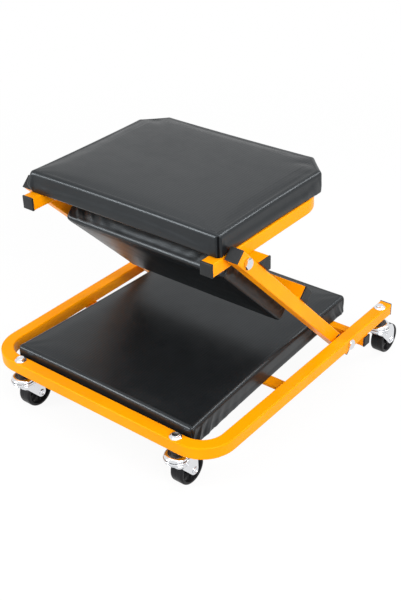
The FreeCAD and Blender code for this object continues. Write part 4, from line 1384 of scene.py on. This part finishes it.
# %% Dishes and nuts
DISH_RIM = -14 * MM
DISH_RADIUS = 18 * MM
DISH_BORE = BOLT / 2 + 0.1 * MM
# The flange reaches past the nut's washer, so that its black paints the shade on the dish's flat top.
NUT_FLANGE_OVER_SHADE = 12.5 * MM
CASTER_NUT_FLATS = 15 * MM
CASTER_NUT_FACE = 7.2 * MM


def upper_dish():
    """Pressed dish open downwards, with a rolled rim: a softened section turned about the swivel axis."""
    return lathe_ring([
        (DISH_BORE, DISH_TOP),
        (11 * MM, DISH_TOP),
        (15.8 * MM, DISH_TOP - 0.9 * MM),
        (DISH_RADIUS, DISH_RIM + 3.2 * MM),
        (DISH_RADIUS, DISH_RIM),
        (DISH_RADIUS - 1.5 * MM, DISH_RIM),
        (14.6 * MM, DISH_TOP - 2.8 * MM),
        (9.5 * MM, DISH_TOP - 1.5 * MM),
        (DISH_BORE, DISH_TOP - 1.5 * MM),
    ], 1.9 * MM)


def flanged_nut():
    """Hexagon nut under the tube, on a round flange that spreads over the dish. The flange is wider than
    the nut's washer, so that its black paints the shade on the dish's flat top.
    """
    hexagon = hexagon_radius(CASTER_NUT_FLATS)
    return round_shape([
        (DISH_BORE, DISH_TOP),
        (NUT_FLANGE_OVER_SHADE - 1 * MM, DISH_TOP),
        (NUT_FLANGE_OVER_SHADE, DISH_TOP - 0.2 * MM),
        (NUT_FLANGE_OVER_SHADE, DISH_TOP + 0.4 * MM),
        (hexagon + 0.4 * MM, DISH_TOP + 2.0 * MM),
        (hexagon, DISH_TOP + 2.6 * MM),
        (hexagon, -(hexagon - CASTER_NUT_FACE) * CONE),
        (CASTER_NUT_FACE, 0),
        (DISH_BORE, 0),
    ], ring=True)


def stem(top):
    """Bolt body: riveted over below the crown, straight up to the top."""
    return lathe([
        (0, CROWN_FOOT - 2.3 * MM),
        (5.5 * MM, CROWN_FOOT - 2.3 * MM),
        (7.5 * MM, CROWN_FOOT - 1.2 * MM),
        (7.5 * MM, CROWN_FOOT - 0.3 * MM),
        (BOLT / 2, CROWN_FOOT - 0.3 * MM),
        (BOLT / 2, top),
        (0, top),
    ], 0.5 * MM, AROUND)


# %% [markdown]
# ### Fork
# The fork's legs are bent from the same sheet as the crown. A leg is a sheet between a front and a back
# edge, both lines in side view; its middle plane follows the crown's circle at the top and becomes
# flat beside the wheel. Going round the sheet's section, with half circles at its edges, closes it.

# %% Edges and section of a leg
EYE = 7 * MM
LEG_ROWS = 44
FACE_POINTS = 44
EDGE_POINTS = 6


def leg_edges():
    """Front and back edges of a leg in side view, (y, z), from the crown to the bottom of the eye."""
    y, z = AXLE[1], AXLE[2]
    low = np.radians(np.linspace(225, 270, 8))
    high = np.radians(np.linspace(0, -90, 12))
    front_arc = np.column_stack([y + EYE * np.cos(low), z + EYE * np.sin(low)])
    back_arc = np.column_stack([y + EYE * np.cos(high), z + EYE * np.sin(high)])
    front = softened([
        (-14 * MM, CROWN_FOOT + 1.6 * MM),
        (-13 * MM, CROWN_FOOT - 2.5 * MM),
        (-3 * MM, CROWN_FOOT - 9 * MM),
        tuple(front_arc[0]),
    ], 6 * MM)
    back = softened([
        (13 * MM, CROWN_FOOT + 1.6 * MM),
        (y + EYE - 2 * MM, z + 26 * MM),
        (y + EYE, z + 22 * MM),
        tuple(back_arc[0]),
    ], 3 * MM)
    pairs = ((front, front_arc), (back, back_arc))
    return [evenly(np.vstack([edge, arc[1:]]), LEG_ROWS) for edge, arc in pairs]


def leg_section():
    """One loop round the sheet: share across from front to back, and place through its thickness."""
    across = np.linspace(0, 1, FACE_POINTS)
    turn = np.linspace(-np.pi / 2, np.pi / 2, EDGE_POINTS)[1:-1]
    bulge = np.cos(turn) * SHEET / 2
    share = np.concatenate([across, np.ones(EDGE_POINTS - 2), across[::-1], np.zeros(EDGE_POINTS - 2)])
    beyond = np.concatenate([0 * across, bulge, 0 * across, -bulge])
    through = np.concatenate([0 * across + 1, -np.sin(turn), 0 * across - 1, np.sin(turn)]) * SHEET / 2
    return share, beyond, through


# %% Leg and crown
LEG_PLANE = 13.7 * MM
BEND_RADIUS = 16.6 * MM
BEND_START = CROWN_FOOT - 13 * MM
BEND_END = CROWN_FOOT + 1 * MM
CREASE = 8 * MM
CREASE_SLOPE = 0.26
CREASE_DENT = 0.6 * MM
CREASE_WIDTH = 1.3 * MM
CROWN_RIM = -14.5 * MM
CROWN_RADIUS = 19 * MM
CROWN_BORE = BOLT / 2 + 0.05 * MM


def fork_leg(hand):
    """Right or left leg of a fork, closed: a flat plane that slopes away from a dented crease, blended
    into the crown's circle towards the top."""
    front, back = leg_edges()
    share, beyond, through = leg_section()
    width = np.linalg.norm(back - front, axis=1)[:, None]
    beyond = beyond[None] * np.minimum(1, width / SHEET)
    aim = (back - front) / np.maximum(width, 1e-9)
    flat = front[:, None] + (back - front)[:, None] * share[None, :, None] + aim[:, None] * beyond[..., None]
    y = flat[..., 0]
    z = flat[..., 1]
    hold = smooth_step(z, BEND_START, BEND_END)
    circle = np.sqrt(BEND_RADIUS ** 2 - np.clip(y, -15 * MM, 13 * MM) ** 2)
    dent = CREASE_DENT * np.exp(-((y - CREASE) / CREASE_WIDTH) ** 2)
    plane = LEG_PLANE - CREASE_SLOPE * np.maximum(0, CREASE - y) - dent
    x = plane + (circle - plane) * hold + through[None]
    return tube(np.stack([hand * x, y, z], axis=-1))


def crown():
    """Lower dish, open upwards: a rolled rim, a groove under it and a flat foot with a thin lip."""
    return lathe_ring([
        (CROWN_BORE, CROWN_FOOT),
        (CROWN_RADIUS - 1.2 * MM, CROWN_FOOT),
        (CROWN_RADIUS - 1.2 * MM, CROWN_FOOT + 0.9 * MM),
        (CROWN_RADIUS - 3.2 * MM, CROWN_FOOT + 1.5 * MM),
        (CROWN_RADIUS - 3.0 * MM, CROWN_FOOT + 2.6 * MM),
        (CROWN_RADIUS, CROWN_FOOT + 3.2 * MM),
        (CROWN_RADIUS, CROWN_RIM),
        (CROWN_RADIUS - 1.5 * MM, CROWN_RIM),
        (14 * MM, CROWN_FOOT + 3 * MM),
        (9.5 * MM, CROWN_FOOT + 1.5 * MM),
        (CROWN_BORE, CROWN_FOOT + 1.5 * MM),
    ], 0.9 * MM)


# %% [markdown]
# ### Wheel and rivet
# The wheel is turned: a hub, a dished web and a wide tread with round shoulders. Ribs in the dish are
# made by lifting the web where the angle is near one of eight spokes. A mould leaves a fine line round
# the middle of the tread. The axle is a hollow rivet, rolled over outside both legs.

# %% Wheel
WHEEL_RADIUS = 25 * MM
WHEEL_BORE = 3.05 * MM
WHEEL_SIDE = 11 * MM
RIM_SIDE = 10.8 * MM
WEB_SIDE = 5 * MM
WEB_FROM = 9.1 * MM
WEB_TO = 18.8 * MM
SPOKES = 8
SPOKE_SIDE = RIM_SIDE - 2.5 * MM
WHEEL_AROUND = 128


def wheel():
    """Section of (radius, place along the axle) turned about X, with spokes lifted out of the web."""
    right = [
        (WHEEL_BORE, WHEEL_SIDE),
        (8.5 * MM, WHEEL_SIDE),
        (WEB_FROM, WEB_SIDE),
        (WEB_TO, WEB_SIDE),
        (20.2 * MM, RIM_SIDE),
        (22.6 * MM, RIM_SIDE),
        (24.3 * MM, RIM_SIDE - 0.8 * MM),
        (WHEEL_RADIUS, 8.2 * MM),
        (WHEEL_RADIUS, 0.5 * MM),
        (WHEEL_RADIUS - 0.25 * MM, 0.0),
    ]
    left = [(radius, -side) for radius, side in right[:-1]][::-1]
    section = softened(np.array(right + left + right[:2]), 0.9 * MM)[1:-1]
    angle = np.linspace(0, 2 * np.pi, WHEEL_AROUND, endpoint=False)
    radius = section[:, :1]
    side = np.repeat(section[:, 1:], WHEEL_AROUND, axis=1)
    past_hub = smooth_step(radius, WEB_FROM - 0.2 * MM, WEB_FROM + 0.3 * MM)
    past_web = smooth_step(radius, WEB_TO - 0.2 * MM, WEB_TO + 0.6 * MM)
    off_spoke = np.abs(np.sin(SPOKES * angle / 2))[None] * radius * 2 / SPOKES
    spoke = past_hub * (1 - past_web) * (1 - smooth_step(off_spoke, 0.6 * MM, 1.5 * MM))
    side = np.sign(side) * (np.abs(side) + spoke * (SPOKE_SIDE - WEB_SIDE))
    points = np.stack([side, radius * np.cos(angle), radius * np.sin(angle)], axis=-1)
    return grid(points, round_columns=True, round_rows=True)


# %% Rivet
RIVET_PIN = 3 * MM
RIVET_HEAD = 5.5 * MM


def axle_rivet():
    """Hollow rivet along X through both legs: each head is a rolled ring round a dished middle."""
    outer = LEG_PLANE + SHEET / 2
    head = [
        (0, outer + 0.4 * MM),
        (RIVET_PIN, outer + 0.4 * MM),
        (3.6 * MM, outer + 1.7 * MM),
        (4.9 * MM, outer + 1.7 * MM),
        (RIVET_HEAD, outer + 0.8 * MM),
        (RIVET_HEAD, outer),
    ]
    pin = [(RIVET_PIN, outer), (RIVET_PIN, -outer)]
    tail = [(radius, -side) for radius, side in head[::-1]]
    points = turned(softened(head + pin + tail, 0.8 * MM), AROUND)
    return grid(points[..., [2, 0, 1]], round_columns=True)


# %% [markdown]
# ### Six casters
# Dishes, nuts and bolts stay with the base or the seat. Each fork and its rivet ride on a swivel, and
# each wheel turns on its axle, so these are single pieces. Linked copies would be lighter, but here every
# object sits at the origin, with its place in its own mesh.

# %% Fixed halves of the casters
def copies(part, names):
    """A shape drawn about its mount, once at each of the named mounts."""
    return joined([moved(part, MOUNTS[name]) for name in names])


BASE_CASTERS = [name for name in CASTERS if not name.startswith("head")]
HEAD_CASTERS = [name for name in CASTERS if name.startswith("head")]
whole_bolt = joined([moved(bolt_head(), (0, 0, TUBE)), stem(TUBE)])
new_piece("base_caster_bolts_fine", copies(whole_bolt, BASE_CASTERS), ZINC, "base",
          ["base_caster_bolts"], FINE)
for group_name, body, names in (("base_caster", "base", BASE_CASTERS), ("head_caster", "seat", HEAD_CASTERS)):
    new_piece(f"{group_name}_dishes_fine", copies(upper_dish(), names), CHROME, body,
              [f"{group_name}_dishes"])
    # The nuts' black, spread over the dish tops by their flanges, is partly painted shade.
    new_piece(f"{group_name}_nuts_fine", copies(flanged_nut(), names), OXIDE_AND_SHADE, body,
              [f"{group_name}_nuts"], FINE)

# %% Forks, axles and wheels
fork = joined([crown(), fork_leg(1), fork_leg(-1)])
rivet = moved(axle_rivet(), AXLE)
roller = moved(wheel(), AXLE)
for name in CASTERS:
    place = MOUNTS[name]
    new_piece(f"{name}_fork_fine", moved(fork, place), CHROME, f"{name}_swivel", [f"{name}_fork"])
    new_piece(f"{name}_axle_fine", moved(rivet, place), ZINC, f"{name}_swivel", [f"{name}_axle"])
    new_piece(f"{name}_wheel_fine", moved(roller, place), WHEEL_PLASTIC, f"{name}_rolling",
              [f"{name}_wheel"])

# %% [markdown]
# ## Welds
# The cross members are welded where they meet the tubes, before the powder coat goes on. A weld is a
# half-sunk bead along a straight joint whose radius swells with every pass of the torch.

# %% Bead
BEAD = 2.0 * MM
BEAD_PITCH = 2.6 * MM
BEAD_SWELL = 0.16
BEAD_AROUND = 14
RINGS_IN_PITCH = 6
SLANTED = (0.31, 0.52, 0.79)


def bead(start, end):
    """Closed bead along a line: rings whose radius ripples with the pitch and closes at both ends."""
    start = np.asarray(start, float)
    end = np.asarray(end, float)
    length = np.linalg.norm(end - start)
    t = np.linspace(0, 1, int(length / BEAD_PITCH) * RINGS_IN_PITCH)
    ripple = 1 + BEAD_SWELL * np.abs(np.cos(np.pi * t * length / BEAD_PITCH))
    taper = np.sqrt(np.clip(1 - (2 * t - 1) ** 10, 0.02, 1))
    radius = (BEAD * ripple * taper)[:, None, None]
    turn = np.linspace(0, 2 * np.pi, BEAD_AROUND, endpoint=False)[None, :, None]
    along = unit(end - start)
    side = unit(np.cross(along, SLANTED))
    up = np.cross(along, side)
    centre = (start + t[:, None] * (end - start))[:, None]
    return tube(centre + radius * (np.cos(turn) * side + np.sin(turn) * up))


def cross_welds(x_low, x_high, y_low, y_high, z):
    """Beads under both tubes where a cross member passes: one along each of its two upper edges."""
    return [bead((hand * x_low, y, z), (hand * x_high, y, z)) for hand in (1, -1) for y in (y_low, y_high)]


# %% Welds on the base, arms and seat
RAIL_IN = BASE_SIDE - TUBE
SHORT = 2 * MM
base_beads = cross_welds(RAIL_IN + SHORT, BASE_SIDE - SHORT, BAR_LOW.y, BAR_HIGH.y, BAR_HIGH.z)
base_beads += cross_welds(RAIL_IN + SHORT, STRIP_HIGH.x - SHORT, STRIP_LOW.y, STRIP_HIGH.y, STRIP_HIGH.z)
new_piece("base_welds", joined(base_beads), ORANGE, "base")
flat_beads = joined(cross_welds(ARM_IN + SHORT, ARM_OUT - SHORT, CARRIER_Y - TUBE / 2, CARRIER_Y + TUBE / 2,
                                MIDDLE_BOTTOM))
new_piece("arm_welds", (raised(flat_beads[0]), flat_beads[1]), ORANGE, "arms")
STOP_LOW, STOP_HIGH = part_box("seat_stop_bar")
SEAT_TUBE_OUT = SEAT_TUBE_IN + TUBE
seat_beads = cross_welds(SEAT_TUBE_IN + SHORT, SEAT_TUBE_OUT - SHORT, STOP_LOW.y, STOP_HIGH.y, STOP_HIGH.z)
new_piece("seat_welds", joined(seat_beads), ORANGE, "seat")

# %% [markdown]
# ## The floor and the light
# A plain studio: a pale floor that runs out of sight, an even white surround, large soft lamps from the
# right and above, and two smaller ones that draw a bright line along the pads' edges. To the camera and
# to mirror-like surfaces the surround is plain white; as light it is weaker, so that colours come out
# about as they are written. A picture of a studio could light the scene too, but four lamps are easier to
# understand and to move.

# %% Rays that see white
def camera_or_mirror(tree):
    """1 for rays from the camera, from mirror-like surfaces and through clear ones, 0 for the rest."""
    path = tree.nodes.new("ShaderNodeLightPath")
    first = tree.nodes.new("ShaderNodeMath")
    first.operation = "MAXIMUM"
    second = tree.nodes.new("ShaderNodeMath")
    second.operation = "MAXIMUM"
    tree.links.new(path.outputs["Is Camera Ray"], first.inputs[0])
    tree.links.new(path.outputs["Is Glossy Ray"], first.inputs[1])
    tree.links.new(first.outputs[0], second.inputs[0])
    tree.links.new(path.outputs["Is Transmission Ray"], second.inputs[1])
    return second.outputs[0]


# %% Floor
FLOOR_SIZE = 12.0
FLOOR_GLOW = 0.93
FLOOR_FADE = (0.5, 1.5)
FLOOR_TONE = 0.9
FLOOR_BOUNCE = 0.6


def pale_floor():
    """White to the eye, with part of its tone from the light that falls on it, so shadows stay near the
    object; with the distance from the middle that part fades, and the floor meets the surround unseen.
    For the light that it throws back up it is a duller grey, so that undersides aren't lit too much."""
    material = bpy.data.materials.new("pale_floor")
    material.use_nodes = True
    tree = material.node_tree
    tree.nodes.remove(tree.nodes["Principled BSDF"])
    lit = tree.nodes.new("ShaderNodeBsdfDiffuse")
    seen = camera_or_mirror(tree)
    tone = node(material, "ShaderNodeMapRange")
    tone.inputs["To Min"].default_value = FLOOR_BOUNCE
    tone.inputs["To Max"].default_value = FLOOR_TONE
    wire(material, seen, tone.inputs["Value"])
    wire(material, tone.outputs["Result"], lit.inputs["Color"])
    glow = tree.nodes.new("ShaderNodeEmission")
    far = node(material, "ShaderNodeVectorMath", operation="LENGTH")
    wire(material, places(material), far.inputs[0])
    fade = node(material, "ShaderNodeMapRange", interpolation_type="SMOOTHSTEP")
    for socket, value in zip(("From Min", "From Max", "To Min", "To Max"), (*FLOOR_FADE, FLOOR_GLOW, 1.0)):
        fade.inputs[socket].default_value = value
    wire(material, far.outputs["Value"], fade.inputs["Value"])
    share = node(material, "ShaderNodeMath", operation="MULTIPLY")
    wire(material, seen, share.inputs[0])
    wire(material, fade.outputs["Result"], share.inputs[1])
    mix = tree.nodes.new("ShaderNodeMixShader")
    tree.links.new(share.outputs[0], mix.inputs["Fac"])
    tree.links.new(lit.outputs[0], mix.inputs[1])
    tree.links.new(glow.outputs[0], mix.inputs[2])
    tree.links.new(mix.outputs[0], tree.nodes["Material Output"].inputs["Surface"])
    return material


reach = FLOOR_SIZE / 2
corner_points = np.array([[[-reach, -reach, 0], [reach, -reach, 0]], [[-reach, reach, 0], [reach, reach, 0]]])
floor_points, floor_faces = grid(corner_points)
floor_mesh = bpy.data.meshes.new("floor")
floor_mesh.from_pydata(floor_points.tolist(), [], floor_faces)
floor_mesh.materials.append(pale_floor())
floor = bpy.data.objects.new("floor", floor_mesh)
bpy.context.scene.collection.objects.link(floor)
print("floor", FLOOR_SIZE, "m wide")

# %% World
AMBIENT = 0.14

world = bpy.data.worlds.new("studio")
bpy.context.scene.world = world
world.use_nodes = True
tree = world.node_tree
ambient = tree.nodes["Background"]
ambient.inputs["Color"].default_value = (1, 1, 1, 1)
ambient.inputs["Strength"].default_value = AMBIENT
surround = tree.nodes.new("ShaderNodeBackground")
surround.inputs["Color"].default_value = (1, 1, 1, 1)
surround.inputs["Strength"].default_value = 1.0
world_mix = tree.nodes.new("ShaderNodeMixShader")
tree.links.new(camera_or_mirror(tree), world_mix.inputs["Fac"])
tree.links.new(ambient.outputs[0], world_mix.inputs[1])
tree.links.new(surround.outputs[0], world_mix.inputs[2])
tree.links.new(world_mix.outputs[0], tree.nodes["World Output"].inputs["Surface"])
print("surround", AMBIENT, "as light, 1 to the eye")

# %% Lamps
LAMP_AIM = np.array([0.0, 0.0, 0.2])
LAMPS = {
    "right_softbox": ((2.0, -0.9, 1.45), 1.4, 62.0),
    "top_softbox": ((-0.2, 0.2, 2.6), 2.4, 30.0),
    "front_edge_lamp": ((-1.08, -1.73, 0.88), 0.65, 32.0),
    "side_edge_lamp": ((1.0, 1.2, 1.4), 0.5, 13.0),
}
for name, (place, size, power) in LAMPS.items():
    lamp = bpy.data.lights.new(name, "AREA")
    lamp.shape = "SQUARE"
    lamp.size = size
    lamp.energy = power
    holder = bpy.data.objects.new(name, lamp)
    back = unit(np.array(place) - LAMP_AIM)
    right = unit(np.cross([0.0, 1.0, 0.0], back))
    holder.matrix_world = Matrix(np.column_stack([right, np.cross(back, right), back]).tolist()).to_4x4()
    holder.location = place
    bpy.context.scene.collection.objects.link(holder)
    print(name, power, "W")
